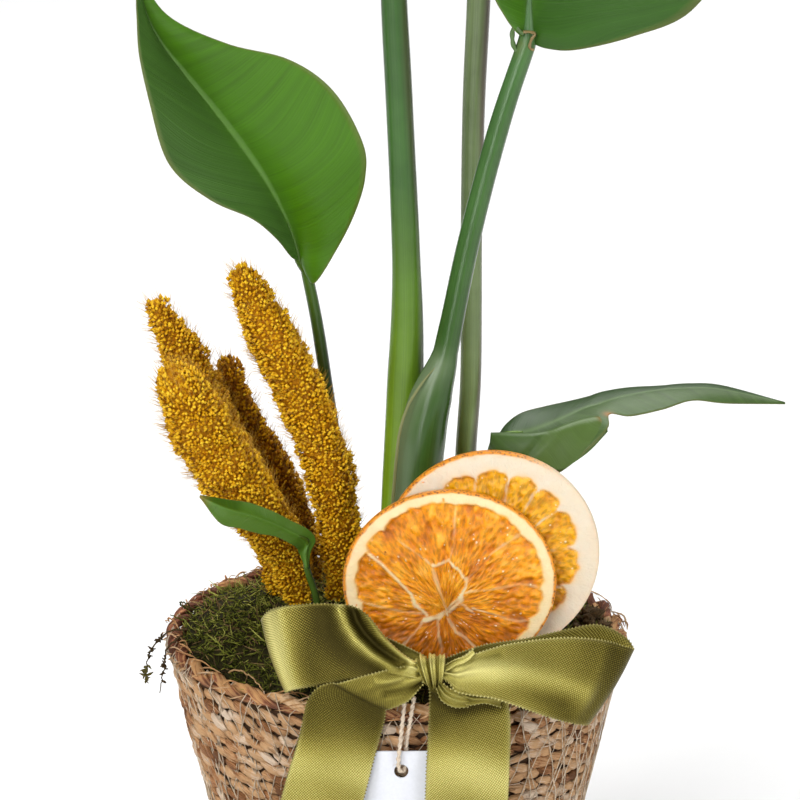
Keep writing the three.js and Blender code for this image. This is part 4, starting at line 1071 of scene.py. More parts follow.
# Each blade's colours are its left half, its right half, its midrib and its underside; the two halves differ by
# painted light, the darker one standing for the half turned from the light.
BLADES = {
    "leaf_tall_left": {
        "sections": [
            [[-4.4, 12.4, 410.2], [-4, 12.5, 410.2], [-3.6, 12.4, 410.2]],
            [[-24, 2, 419], [-5.5, 13, 421], [16, 5, 417]],
            [[-47, -6, 442], [-9, 15, 443], [36, 2, 440]],
            [[-61, -9, 476], [-16.5, 18, 476], [40.5, 3, 477]],
            [[-69, -4, 514], [-27, 22, 512], [31, 12, 520]],
            [[-74, 6, 548], [-40, 27, 546], [9, 23, 556]],
            [[-75, 20, 574], [-53, 32, 573], [-22, 32, 581]],
            [[-68, 36.5, 592], [-67.5, 37, 592.5], [-67, 37, 593]],
        ],
        "rib": 2.4,
        "colours": [(0.05, 0.14, 0.015), (0.075, 0.2, 0.012), (0.13, 0.24, 0.04), (0.09, 0.17, 0.04)],
    },
    "leaf_tall_back": {
        "sections": [
            [[27.6, 33, 395.6], [28, 33.2, 395.6], [28.4, 33, 395.6]],
            [[13, 37, 403], [29, 34, 405], [46, 25, 401]],
            [[1, 44, 428], [32, 36, 426], [72, 18, 415]],
            [[3, 52, 463], [39, 39, 455], [91, 20, 445]],
            [[19, 60, 500], [50, 44, 486], [101, 29, 480]],
            [[43, 65, 531], [64.5, 51, 519], [104, 42, 514]],
            [[69, 68, 551], [81, 59, 545], [102, 54, 542]],
            [[95.5, 66, 561], [96, 66, 561.5], [96.5, 66, 561]],
        ],
        "rib": 2,
        "colours": [(0.052, 0.145, 0.016), (0.046, 0.13, 0.013), (0.1, 0.19, 0.04), (0.085, 0.155, 0.04)],
    },
    "leaf_right": {
        "sections": [
            [[40.4, 15.4, 307.2], [40.8, 15.6, 307.2], [41.2, 15.4, 307]],
            [[36.5, 12, 311.5], [41, 15.9, 311.5], [47, 12, 305.6]],
            [[33, 8, 317], [41, 16.2, 316.5], [56, 7, 306.4]],
            [[29, 3, 325], [41.4, 16.5, 324], [73, 1, 312]],
            [[23, -5, 343], [43.5, 15.5, 340], [90, -4, 320.8]],
            [[17, -11, 370], [48, 12.5, 365], [102, -9, 341]],
            [[19, -14, 402], [56, 7, 395], [109, -13, 372]],
            [[35, -14, 431], [67, 2, 424], [110, -15, 408]],
            [[60, -11, 452], [80, -3, 447], [104, -13, 437]],
            [[94, -8, 464], [94.5, -8, 464.5], [95, -8, 464]],
        ],
        "rib": 2.2,
        "colours": [(0.055, 0.16, 0.01), (0.026, 0.083, 0.006), (0.1, 0.19, 0.05), (0.052, 0.125, 0.018)],
    },
    "leaf_left": {
        "sections": [
            [[-30.4, 24.8, 233.6], [-29.9, 25, 233.2], [-29.2, 24.4, 232.4]],
            [[-33.4, 20.5, 236.4], [-31, 24, 237], [-26.2, 20, 227.8]],
            [[-37.8, 14, 243.8], [-32.8, 22.6, 243], [-19.4, 18, 238.6]],
            [[-45, 5, 252.6], [-36, 20.8, 251], [-13.4, 14.5, 251.5]],
            [[-57.6, -3, 261.1], [-41.2, 18.3, 262], [-9.8, 11, 264.5]],
            [[-69.7, -9, 274], [-48.2, 16, 273.4], [-10.4, 9, 276.5]],
            [[-75.6, -11, 293.5], [-56.4, 13.4, 285], [-19.4, 8, 293]],
            [[-78.7, -9.5, 307.5], [-66.2, 9.8, 298.5], [-33.2, 6.4, 303.2]],
            [[-79.2, -5, 319], [-73.6, 6, 310], [-52, 5.4, 308.6]],
            [[-79.5, -1.5, 325], [-77.4, 3.8, 320], [-70, 4.2, 317.6]],
            [[-79.5, 2.6, 331], [-79.3, 2.7, 331.2], [-79.1, 2.6, 331]],
        ],
        "rib": 1.2,
        "colours": [(0.049, 0.12, 0.018), (0.05, 0.15, 0.002), (0.1, 0.22, 0.03), (0.1, 0.19, 0.03)],
    },
    "leaf_low_right": {
        "sections": [
            [[32.2, 14.4, 178.6], [32.4, 14, 178.4], [32.4, 13.6, 178]],
            [[35, 20, 181], [36.5, 13.5, 180], [35, 8, 174.5]],
            [[40, 24, 183.5], [41.5, 14, 180.5], [41, 3, 169]],
            [[48, 28, 184.5], [47.5, 16, 182], [50.5, 1, 170.5]],
            [[55, 30, 185.5], [53.5, 18, 184], [60.5, 3, 178]],
            [[61.5, 31, 187], [60, 21, 186], [67, 7, 184]],
            [[66.5, 32, 188.5], [65, 22.5, 187], [68, 15, 186]],
            [[75, 33.5, 189.5], [71, 24.5, 188.5], [74.5, 14, 185.5]],
            [[85, 35, 189.5], [81, 28, 189.5], [85, 18, 186.5]],
            [[95, 37, 189.5], [92, 31.5, 189.5], [95, 25, 187.5]],
            [[106, 39.5, 188], [104.5, 35.5, 188], [106.5, 30, 185]],
            [[126, 40.4, 182.2], [126, 40, 182], [126, 39.6, 181.8]],
        ],
        "rib": 1,
        "colours": [(0.024, 0.062, 0.008), (0.055, 0.105, 0.022), (0.1, 0.17, 0.05), (0.09, 0.15, 0.03)],
        "gloss": 0.46,
    },
    "leaf_small_front": {
        "sections": [
            [[-28.5, -6, 147.4], [-28.8, -6.2, 147.3], [-29.1, -6.5, 147.1]],
            [[-25.6, -6.2, 150.9], [-28, -7, 150.5], [-29.7, -9, 148.2]],
            [[-27.8, -7, 154.6], [-30.8, -8.8, 153], [-33.6, -10.8, 151.2]],
            [[-33, -8.5, 158], [-35.2, -10.5, 155.9], [-38, -13, 154.2]],
            [[-38.8, -11, 162], [-39.8, -13, 159], [-43.2, -16.5, 156.4]],
            [[-46, -14.5, 166], [-46.5, -17.5, 163], [-49, -20.5, 159.5]],
            [[-53, -19, 168.6], [-53.5, -22, 166.6], [-55, -24.5, 162.6]],
            [[-61, -24.6, 171.9], [-61.2, -25, 171.5], [-61, -25.4, 171.1]],
        ],
        "rib": 0.5,
        "colours": [(0.04, 0.095, 0.005), (0.07, 0.145, 0.004), (0.09, 0.2, 0.025), (0.08, 0.18, 0.018)],
    },
}

# The small front leaf's foot, drawn down over its stalk like a funnel, in place of its first two sections
FUNNEL = [
    [[-27.9, -7.0, 142], [-28.4, -7.2, 141.8], [-28.9, -7.0, 142]],
    [[-27.1, -6.8, 147.2], [-28.8, -7.4, 146.9], [-30.9, -7.8, 147]],
    [[-25.6, -6.2, 150.9], [-28, -7, 150.5], [-31.6, -9.2, 149.2]],
]

# The low right leaf's near half, folded outwards: its rolled upper line, and its lower line on the margin
FOLD = {
    "roll": [[30, 11, 181], [34.5, 8, 182], [39, 6, 182.5], [43.5, 5, 183], [48, 5, 183.5], [52.5, 6, 185],
             [57, 8, 186], [61, 10, 186.5], [64, 11, 186.5], [67, 12, 184.5]],
    "margin": [[29.5, 10, 176], [31.5, 7, 175.5], [35.5, 4, 175.5], [39, 2, 175], [43, 0.5, 174], [47.5, 0, 173],
               [52, 0.5, 172], [56, 1.5, 174], [61.5, 4, 177.5], [67, 7.5, 182.5]],
    "crease": [[48, 183.5], [42, 177], [39, 172]],
}


def folded_half():
    """The fold: rows between the two lines. At the top they are tucked 1.6 mm back and 0.5 mm down, each times
    (1 - share of the way down / 0.16)^2; below, they bow out by 1.3 mm * a sine arch, with a furrow of 0.9 mm
    along the crease. It darkens towards the foot by painted shade, which takes the pale underside colour away
    there."""
    rows, columns = 60, 25
    roll, margin = smooth(FOLD["roll"], rows), smooth(FOLD["margin"], rows)
    down = np.tile(np.linspace(0, 1, columns), (rows, 1))
    grid = roll[:, None] * (1 - down[..., None]) + margin[:, None] * down[..., None]
    tucked = np.clip(1 - down / 0.16, 0, 1) ** 2
    grid[..., 1] += 1.6 * tucked - 1.3 * np.sin(np.pi * down)
    grid[..., 2] -= 0.5 * tucked
    crease = line_distance(grid[..., [0, 2]], FOLD["crease"])
    grid[..., 1] += 0.9 * bell(crease, 1.3) * (1 - tucked)
    normal = grid_normals(grid)
    points = np.concatenate([grid + normal * 0.15, grid - normal * 0.15]).reshape(-1, 3)
    place = xyz(0.2 + 0.3 * down, run_along(roll)[:, None] - 16 * down, 0)
    # Painted shade: towards the foot, less of the pale underside colour shows.
    left = np.clip((46 - grid[..., 0] + 0.5 * (grid[..., 2] - 178)) / 3, 0, 1)
    values = {
        "place": np.tile(place.reshape(-1, 3), (2, 1)),
        "under": np.tile((0.55 - 0.5 * left).ravel(), 2),
        "rib": np.tile((0.5 * tucked).ravel(), 2),
        "edge": 0.0,
        "dry": 0.8 * spot(points, [65.5, 11.5, 186], 1.5),
    }
    return points, sheet_faces(rows, columns), values


def make_leaf(name, sections, rib, colours, gloss=0.34):
    """A leaf: smooth lines through the left margins, midribs and right margins span a grid; each half bulges
    by a sine arch across and waves gently along its margin. Front and back lie half a thickness from it, with
    a groove over the midrib and a rounded rib under it that fades to the tip. Its vein coordinate is the
    distance along the midrib less a share of the distance from it, which grows towards the margin."""
    rows, columns = 84, 33
    sections = np.asarray(sections, float)
    if name == "leaf_small_front":
        sections = np.concatenate([FUNNEL, sections[2:]])
    left, middle, right = (smooth(sections[:, line], rows)[:, None] for line in range(3))
    across = np.linspace(-1, 1, columns)
    share = np.abs(across)
    edge = np.where(across[:, None] < 0, left, right)
    grid = middle * (1 - share[:, None]) + edge * share[:, None]
    reach = np.linalg.norm(edge - middle, axis=-1)
    widest = reach.max()
    run = run_along(middle[:, 0])[:, None]
    along = run / run[-1]
    normal = grid_normals(grid)
    arch = 0.045 * reach * np.sin(np.pi * share)
    wave = 0.012 * widest * share**3 * np.sin(run / 9.0 + 2.5 * (across > 0))
    furrow = 0.0016 * widest * np.sin(run / 2.3 - 0.12 * reach * share) * np.sin(np.pi * share) ** 2
    ends = np.sin(np.pi * np.linspace(0, 1, rows))[:, None]
    grid = grid + normal * (arch + (wave + furrow) * ends)[..., None]
    distance = reach * share
    taper = 1 - along
    ridge = bell(distance, 0.4 + 0.5 * rib * taper)
    thick = BLADE_THICKNESS * (1 - 0.45 * share**4)
    front = grid + normal * (thick / 2 - 0.15 * ridge * taper * min(rib, 1.5))[..., None]
    back = grid - normal * (thick / 2 + 0.75 * rib * taper * ridge)[..., None]
    vein = run - 0.3 * distance - 0.35 * distance**2 / max(widest, 1)
    place = xyz(across, vein, 0).reshape(-1, 3)
    margin = 0.5 * np.tile(ramp_between(share, 1 - 0.5 / max(widest, 3), 1.0), rows)
    midrib = bell(distance, 0.3 + 0.75 * rib * taper**1.5).ravel()
    points = np.concatenate([front, back]).reshape(-1, 3)
    values = {
        "place": np.concatenate([place, place + [0, 0, 5]]),
        "under": np.repeat([0.0, 0.85], rows * columns),
        "rib": np.concatenate([0.75 * midrib, midrib]),
        "edge": np.tile(margin, 2),
        "dry": 0.0,
    }
    parts = [(points, sheet_faces(rows, columns), values)]
    if name == "leaf_low_right":
        values["dry"] = spot(points, [67.5, 14.5, 185.8], 1.6)
        parts.append(folded_half())
    if name == "leaf_small_front":
        values["dry"] = 0.5 * np.tile(np.repeat(ramp_between(along, 0.9, 1.0), columns), 2)
        curl = ramp_between(along, 0.66, 0.76) * ramp_between(-along, -0.99, -0.93)
        values["under"][rows * columns:] -= 0.8 * (curl * ramp_between(-across, 0.02, 0.2)).ravel()
    finish = leaf_finish(name + "_green", *colours, gloss)
    piece(name, parts, finish, [name])


# Millet heads: each has a stalk in the soil, then an axis covered with seeds

# Each head's last but one number is painted shade that darkens all its tones: most on the back head, which
# stands in the shade of the others.
MILLET = {
    "millet_head_front": {
        "stalk": [[-30, 15, 88], [-30, 15, 112], [-31, 14, 123.5]],
        "axis": [[-31, 14, 122], [-35, 10, 140.5], [-49, 2, 165], [-61.3, -4, 186.5], [-67, -7.5, 200]],
        "radii": [3, 5.4, 7.6, 9.4, 10.4, 10.8, 10.4, 8.4],
        "painted_head_shade": 0.0,
        "seed": 11,
    },
    "millet_head_left": {
        "stalk": [[-37.5, 27, 88], [-37.5, 27, 112], [-37.8, 26, 122]],
        "axis": [[-37.8, 26, 121], [-40.4, 25, 140.2], [-45.7, 24, 152.5], [-51, 22.5, 165],
                 [-56.6, 20.5, 176.6], [-61.8, 18, 189.8], [-66.6, 15, 203.3], [-70.5, 13, 212],
                 [-75, 10.5, 221.5]],
        "radii": [2.5, 5, 6.4, 7.6, 8, 8.2, 8, 7.4, 5.6, 3.2],
        "painted_head_shade": 0.06,
        "seed": 12,
    },
    "millet_head_back": {
        "stalk": [[-26.5, 42, 88], [-26.5, 42, 110], [-27, 41, 118]],
        "axis": [[-27, 41, 117], [-31, 39.5, 135.3], [-35.4, 38, 150.3], [-41.8, 36, 163.9], [-46.6, 35, 173],
                 [-50.6, 33.5, 182], [-52.7, 32, 190.6], [-53.9, 31.2, 196]],
        "radii": [2.5, 4.6, 5.6, 5.8, 5.8, 5.6, 4.8, 3.2],
        "painted_head_shade": 0.3,
        "seed": 13,
    },
    "millet_head_right": {
        "stalk": [[-19, 18, 88], [-19, 18, 112], [-19, 18, 122]],
        "axis": [[-19, 18, 121], [-18, 14, 142.5], [-19.5, 11, 158.5], [-23.5, 8, 176], [-29.8, 5, 194],
                 [-37.2, 2, 211], [-42.6, 0, 224], [-47.4, -1.5, 234]],
        "radii": [2.5, 6, 7, 7.6, 8, 8.1, 7.7, 4.2],
        "painted_head_shade": 0.03,
        "seed": 14,
    },
}

GOLDEN = math.pi * (3 - math.sqrt(5))


def seed_shape():
    """A ten-faced seed: a ring of five corners between two points."""
    corners = np.concatenate([[[0, 0, 1.1]], polar(1.05, full_turn(5)), [[0, 0, -1.1]]])
    corner = np.arange(5) + 1
    after = corner % 5 + 1
    return corners, np.concatenate([xyz(0, corner, after), xyz(6, after, corner)])


class SeedHead:
    """The axis of a head with its radius and its directions, closed over at the tip. Places on the head are
    told by their distance along the axis and their angle about it."""

    def __init__(self, axis, radii, seed):
        self.random = np.random.default_rng(seed)
        steps, more = 60, 8
        line = even(smooth(axis, 80, centripetal=True), steps)
        ahead = unit(np.gradient(line, axis=0))
        size = spread(radii, steps) * (1 + 0.05 * np.sin(np.arange(steps) * 0.55 + seed))
        self.cap = size[-1] * 1.1
        up = np.linspace(0.12, 1, more)
        self.line = np.concatenate([line, line[-1] + ahead[-1] * self.cap * up[:, None]])
        self.ahead = np.concatenate([ahead, np.repeat(ahead[-1:], more, axis=0)])
        self.size = np.concatenate([size, size[-1] * np.sqrt(1 - (up * 0.97) ** 2)])
        self.across = unit(np.cross(self.ahead, [0.3, -1.0, 0.2]))
        self.other = np.cross(self.ahead, self.across)
        self.run = run_along(self.line)
        slant = np.hypot(np.diff(self.run), np.diff(self.size))
        self.area = np.concatenate([[0], np.cumsum(np.pi * (self.size[1:] + self.size[:-1]) * slant)])

    def read(self, rows, place):
        return read_at(place, self.run, rows)

    def spiral(self, spacing, jitter):
        """Places at turns of the golden angle and equal steps of area."""
        count = int(self.area[-1] / spacing**2)
        marks = (np.arange(count) + 0.5) / count * self.area[-1]
        place = np.interp(marks, self.area, self.run) + self.random.normal(0, jitter, count)
        angle = np.arange(count) * GOLDEN + self.random.normal(0, jitter / 8, count)
        return np.clip(place, 0, self.run[-1]), angle

    def surface(self, place, angle, share, lift=0.0):
        """Points at a share of the head's radius, lifted outwards, and their outward directions."""
        ring = self.read(self.across, place) * np.cos(angle)[:, None]
        ring = unit(ring + self.read(self.other, place) * np.sin(angle)[:, None])
        flare = ramp_between(place, self.run[-1] - 1.6 * self.cap, self.run[-1])[:, None]
        outward = unit(ring * (1 - 0.85 * flare) + self.read(self.ahead, place) * flare)
        radius = np.interp(place, self.run, self.size)[:, None] * share
        return self.read(self.line, place) + ring * radius + outward * np.reshape(lift, (-1, 1)), outward


def head_seeds(head, painted_head_shade):
    """Seeds on a spiral about the axis. They stand out in lobes, each a dome about the nearest point of a
    coarser spiral, are drawn out along their outward line and close over the tip."""
    random = head.random
    lobes, _ = head.surface(*head.spiral(LOBE_SPACING, 0.7), 0.84)
    place, angle = head.spiral(SEED_SPACING, 0.3)
    count = len(place)
    spots, _ = head.surface(place, angle, 0.84)
    distance = np.linalg.norm(spots[:, None] - lobes, axis=-1)
    dome = np.sqrt(np.clip(1 - (distance.min(axis=1) / LOBE_RADIUS) ** 2, 0, 1))
    tall = random.uniform(0.35, 1.3, len(lobes))[distance.argmin(axis=1)]
    lift = LOBE_HEIGHT * dome * tall - 0.75 + random.normal(0, 0.22, count)
    centre, out = head.surface(place, angle, 0.83, lift)
    out = unit(out + 0.4 * head.read(head.ahead, place) + random.normal(0, 0.28, (count, 3)))
    corners, faces = seed_shape()
    wide = random.uniform(0.46, 0.68, (count, 1, 1))
    along = (corners * out[:, None]).sum(-1, keepdims=True)
    seeds = centre[:, None] + wide * (corners + 0.75 * along * out[:, None])
    # Painted light: seeds on the tops of the lobes, and on the taller lobes, are lighter, those in the dips
    # between lobes darker; the head's painted shade is taken off them all.
    tone = random.normal(0.6, 0.2, count) + 0.25 * (dome - 0.5) + 0.12 * (tall - 0.8) - painted_head_shade
    tone = np.repeat(np.clip(tone, 0.02, 1), len(corners))
    return seeds.reshape(-1, 3), copied_faces(faces, count, len(corners)), {"tone": tone}


def head_bristles(head, painted_head_shade):
    """Straw bristles that point outwards and up between the seeds."""
    random = head.random
    count = int(head.area[-1] / BRISTLE_AREA)
    place = np.interp(random.uniform(0, head.area[-1], count), head.area, head.run)
    foot, out = head.surface(place, random.uniform(0, 2 * np.pi, count), 0.84)
    rise = head.read(head.ahead, place)
    way = unit(out + 0.75 * rise + random.normal(0, 0.3, (count, 3)))
    way = way * (random.uniform(2.2, 5.0, (count, 1)) + 0.8)
    sizes = np.full((count, 3), 0.065) * [1.2, 0.9, 0.3]
    points, faces, (bristle, _, _) = strands_from(foot, way, 0.9 * rise, [0, 0.6, 1.0], sizes, 3)
    dry = random.uniform(0.1, 0.85, count)[bristle]
    # Painted shade: the head's shade darkens its bristles and takes their straw colour away.
    return points, faces, {"tone": 0.55 - 0.8 * painted_head_shade, "dry": dry * (1 - painted_head_shade)}


def make_millet(name, finish, stalk, axis, radii, painted_head_shade, seed):
    """A seed head: seeds and bristles on a plain core, and a stalk under it."""
    head = SeedHead(axis, radii, seed)
    core, core_faces, _ = tubes(head.line, head.size * 0.82, 14)
    stem, stem_faces, _ = tubes(route(stalk, 12), np.full(12, 1.4), 10)
    parts = [
        head_seeds(head, painted_head_shade),
        (core, core_faces, {"tone": 0.3 - 0.5 * painted_head_shade, "dry": 0.0}),
        (stem, stem_faces, {"tone": 0.5, "dry": 0.8}),
        head_bristles(head, painted_head_shade),
    ]
    piece(name, parts, finish, [name])


# Orange slices

SLICES = {
    "orange_slice_front": {
        "centre": [16.5, -36.5, 147.5], "half": [32.8, 28.8], "lean": 0.13, "pulp": 0.872, "core": [-1.0, -8.5],
        "dip": 0.05, "bare": 0.0, "seed": 21,
        "colours": [(0.49, 0.135, 0.001), (0.71, 0.265, 0.003), (0.93, 0.76, 0.46)],
        # Walls between the segments, and the torn core, each as a line of points and a half width
        "walls": [
            ([[1.7, 26], [1.7, 23.2], [0.8, 12.2], [-0.5, 7]], 0.3),
            ([[-5.1, 5.5], [-0.5, 7.5]], 0.42),
            ([[-21, 17], [-6, 5.8]], 0.16),
            ([[-5.1, 4.6], [-2.7, -3.5], [-1.1, -7.6]], 0.22),
            ([[-0.5, 7], [4.9, 1.7], [4.9, -1.2]], 0.4),
            ([[4.9, 1.1], [9.8, 7], [19, 13.9], [22, 15.6]], 0.24),
            ([[5.4, -3.5], [10.8, -2.3], [21.2, -0.6], [29.5, -1.9]], 0.25),
            ([[4.9, -1.2], [3.5, -5.3], [-0.5, -8.7], [-3.8, -11], [-7.6, -11.7]], 0.8),
            ([[3.5, -6.4], [7.1, -9.3]], 0.34),
            ([[7.6, -8.1], [13.6, -9.9], [21.7, -12.2], [27.6, -12.6]], 0.24),
            ([[-26, 10.5], [-16.3, 1.1], [-11.9, -3.5], [-7.1, -10.5]], 0.5),
            ([[-7.1, -9.9], [-16.3, -8.4], [-28.8, -6.4]], 0.2),
            ([[-3.8, -11], [-3.5, -14.5], [-3, -19.2], [-2.7, -26]], 0.34),
            ([[-0.5, -10.5], [2.2, -15.7], [8.2, -20.4], [13, -24]], 0.3),
            ([[-8.1, -12.2], [-11.9, -16.3], [-16, -22]], 0.24),
        ],
    },
    "orange_slice_back": {
        "centre": [29.5, -29.5, 154.7], "half": [33.3, 32], "lean": 0.13, "pulp": 0.8, "core": [-3.0, -4.0],
        "dip": 0.13, "bare": 0.93, "seed": 22,
        "colours": [(0.47, 0.18, 0.002), (0.63, 0.31, 0.003), (0.74, 0.67, 0.54)],
        "walls": [([outer, bend, [-3, -4]], width) for outer, bend, width in (
            ([-5.4, 26], [-4.6, 14], 0.3), ([5.8, 25], [3, 12], 0.2), ([14.4, 20], [8, 11], 0.3),
            ([22, 15], [11, 7], 0.24), ([28, 2.4], [18, 0], 0.3), ([27, -12], [14, -9], 0.24),
            ([20, -22], [10, -14], 0.3), ([5, -27], [1, -16], 0.3), ([-14, -22], [-9, -13], 0.3),
            ([-26, -9], [-16, -7], 0.3), ([-24, 11], [-14, 5], 0.3), ([-16, 20], [-10, 9], 0.24),
        )] + [([[-5, -4], [-1.5, -3.5]], 1.1)],
    },
}


def ripple(across, along, wavelength, random, waves=18):
    """Uneven relief between about -1 and 1: sine waves of about one length, added up. Across is an angle, so
    each wave goes round it a whole number of times."""
    turns = np.round(2 * np.pi * 13 / wavelength * random.normal(0, 0.75, waves))
    pace = 2 * np.pi / (3.2 * wavelength) * random.normal(0, 1.0, waves)
    start = random.uniform(0, 2 * np.pi, waves)
    return np.sin(across[..., None] * turns + along[..., None] * pace + start).sum(-1) * math.sqrt(1.2 / waves)


def lobed(walls, half, angle):
    """How far the pulp's outline dips in, from 0 in a segment's middle to 1 at each wall's outer end: one less
    the root of 1 - (share of the way to the wall)^3.2."""
    tips = [np.array(end) / half for line, _ in walls for end in (line[0], line[-1])]
    ends = np.sort([math.atan2(y, x) for x, y in tips if np.hypot(x, y) > 0.7])
    ends = np.concatenate([[ends[-1] - 2 * np.pi], ends, [ends[0] + 2 * np.pi]])
    turn = np.mod(angle + np.pi, 2 * np.pi) - np.pi
    after = np.clip(np.searchsorted(ends, turn), 1, len(ends) - 1)
    middle, width = (ends[after] + ends[after - 1]) / 2, (ends[after] - ends[after - 1]) / 2
    return 1 - np.sqrt(np.clip(1 - np.abs((turn - middle) / width) ** 3.2, 0, 1))


def slice_face(sized, rows, columns):
    """One cut face: rings of an oval out to the rind. Pulp is sunk between the walls, which stand as thin
    ridges that fade in places, and the pith stands level with the thickest; the pulp's outline dips inwards
    at each wall's outer end, so that the segments end round. Juice sacs are ripples drawn out from the core."""
    random = np.random.default_rng(sized["seed"])
    half = np.array(sized["half"])
    shares = np.concatenate([np.linspace(0.004, 0.965, rows - 5), [0.972, 0.98, 0.988, 0.995, 1.0]])
    angle = full_turn(columns)
    flat = shares[:, None, None] * np.stack([np.cos(angle), np.sin(angle)], -1) * half
    oval = np.tile(shares[:, None], columns)
    core = flat - sized["core"]
    spin = np.arctan2(core[..., 1], core[..., 0])
    reach = np.linalg.norm(core, axis=-1)
    fine = ripple(spin, reach, 1.7, random)
    coarse = ripple(spin, reach, 4.5, random)
    bent = flat + 0.4 * np.stack([coarse, ripple(spin, reach, 6.0, random)], -1)
    wall = np.zeros(oval.shape)
    for line, width in sized["walls"]:
        distance = line_distance(bent, line) + 0.08 * fine
        firm = (0.9 if width >= 0.4 else 0.4) + 0.26 * coarse
        wall = np.maximum(wall, firm * (1 - ramp_between(distance, 0.25 * width, 0.6 * width + 0.42)))
    border = sized["pulp"] + 0.01 - sized["dip"] * lobed(sized["walls"], half, angle)
    border = border + 0.005 * np.sin(29 * angle) + 0.006 * fine
    pith = ramp_between(oval, border - 0.008, border + 0.012)
    skinned = 1 - sized["bare"] * ramp_between(np.cos(angle + 0.2), -0.1, 0.5)
    rind = skinned * ramp_between(oval, 0.977 + 0.005 * np.sin(17 * angle) + 0.006 * fine, 0.992)
    firm = np.clip(np.maximum(wall, pith), 0, 1)
    swell = 0.45 * np.sin(np.pi * np.clip(reach / 26, 0, 1))
    rough = 0.12 * ripple(np.broadcast_to(angle, oval.shape), oval * half[0], 2.5, random)
    depth = (1 - firm) * (0.75 - swell - 0.28 * fine - 0.25 * coarse) + 0.3 * rind**2 + rough * pith
    warm = np.exp(-np.abs(oval - border) / 0.016) + 0.6 * skinned * np.exp(-np.abs(oval - 0.99) / 0.012)
    values = {
        "place": xyz(spin * 6.2 + 40, reach * 0.42, 0),
        "wall": firm * (1 - 0.25 * rind),
        "rind": rind,
        "warm": np.clip(warm, 0, 1),
        # Painted shade: grows towards the bottom of the face.
        "low": ramp_between(-flat[..., 1] / half[1], 0.05, 0.95),
        "sac": np.clip(0.5 + 0.3 * fine + 0.25 * coarse, 0, 1),
    }
    return flat, SLICE_THICKNESS / 2 - depth, values


def slice_side(sized, face, rows, around):
    """One side of a slice: a cut face, then three rings of the rounded rind to the slice's middle, and a fan
    over the small hole at its core. It is flat about +Z."""
    flat, height, values = slice_face(sized, rows, around)
    layers = np.concatenate([flat, (face * height)[..., None]], -1)
    bulge = np.array([0.35, 0.7, 1.0])
    wider = 1 + 0.012 * np.sin(bulge * math.pi / 2)
    rings = layers[-1] * np.stack([wider, wider, 1 - bulge], -1)[:, None]
    values = {key: np.concatenate([value, np.repeat(value[-1:], 3, axis=0)]) for key, value in values.items()}
    values["wall"][-3:] = 1 - 0.7 * values["rind"][-3:]
    values = {key: value.reshape(-1, 3) if key == "place" else value.ravel() for key, value in values.items()}
    turn = np.arange(around)
    faces = np.concatenate([grid_faces(rows + 3, around, wrap=True), xyz(0, turn[2:], turn[1:-1])])
    faces = faces[:, ::-1] if face > 0 else faces
    return np.concatenate([layers, rings]).reshape(-1, 3), faces, values


def make_slice(name, sized):
    """A slice: the front face in fine rings, a plainer back face, and a rounded rind between them. It is
    modelled flat about +Z, then turned upright, leant back and set in its place."""
    upright = math.pi / 2 - sized["lean"]
    cosine, sine = math.cos(upright), math.sin(upright)
    parts = []
    for face, rows, around in ((1, 80, 330), (-1, 24, 110)):
        points, faces, values = slice_side(sized, face, rows, around)
        x, y, z = points.T
        parts.append((xyz(x, y * cosine - z * sine, y * sine + z * cosine) + sized["centre"], faces, values))
    piece(name, parts, orange_finish(name + "_flesh", *sized["colours"]), [name])


# Ribbon bow: strips between an upper and a lower edge line, and a knot, in one length of ribbon

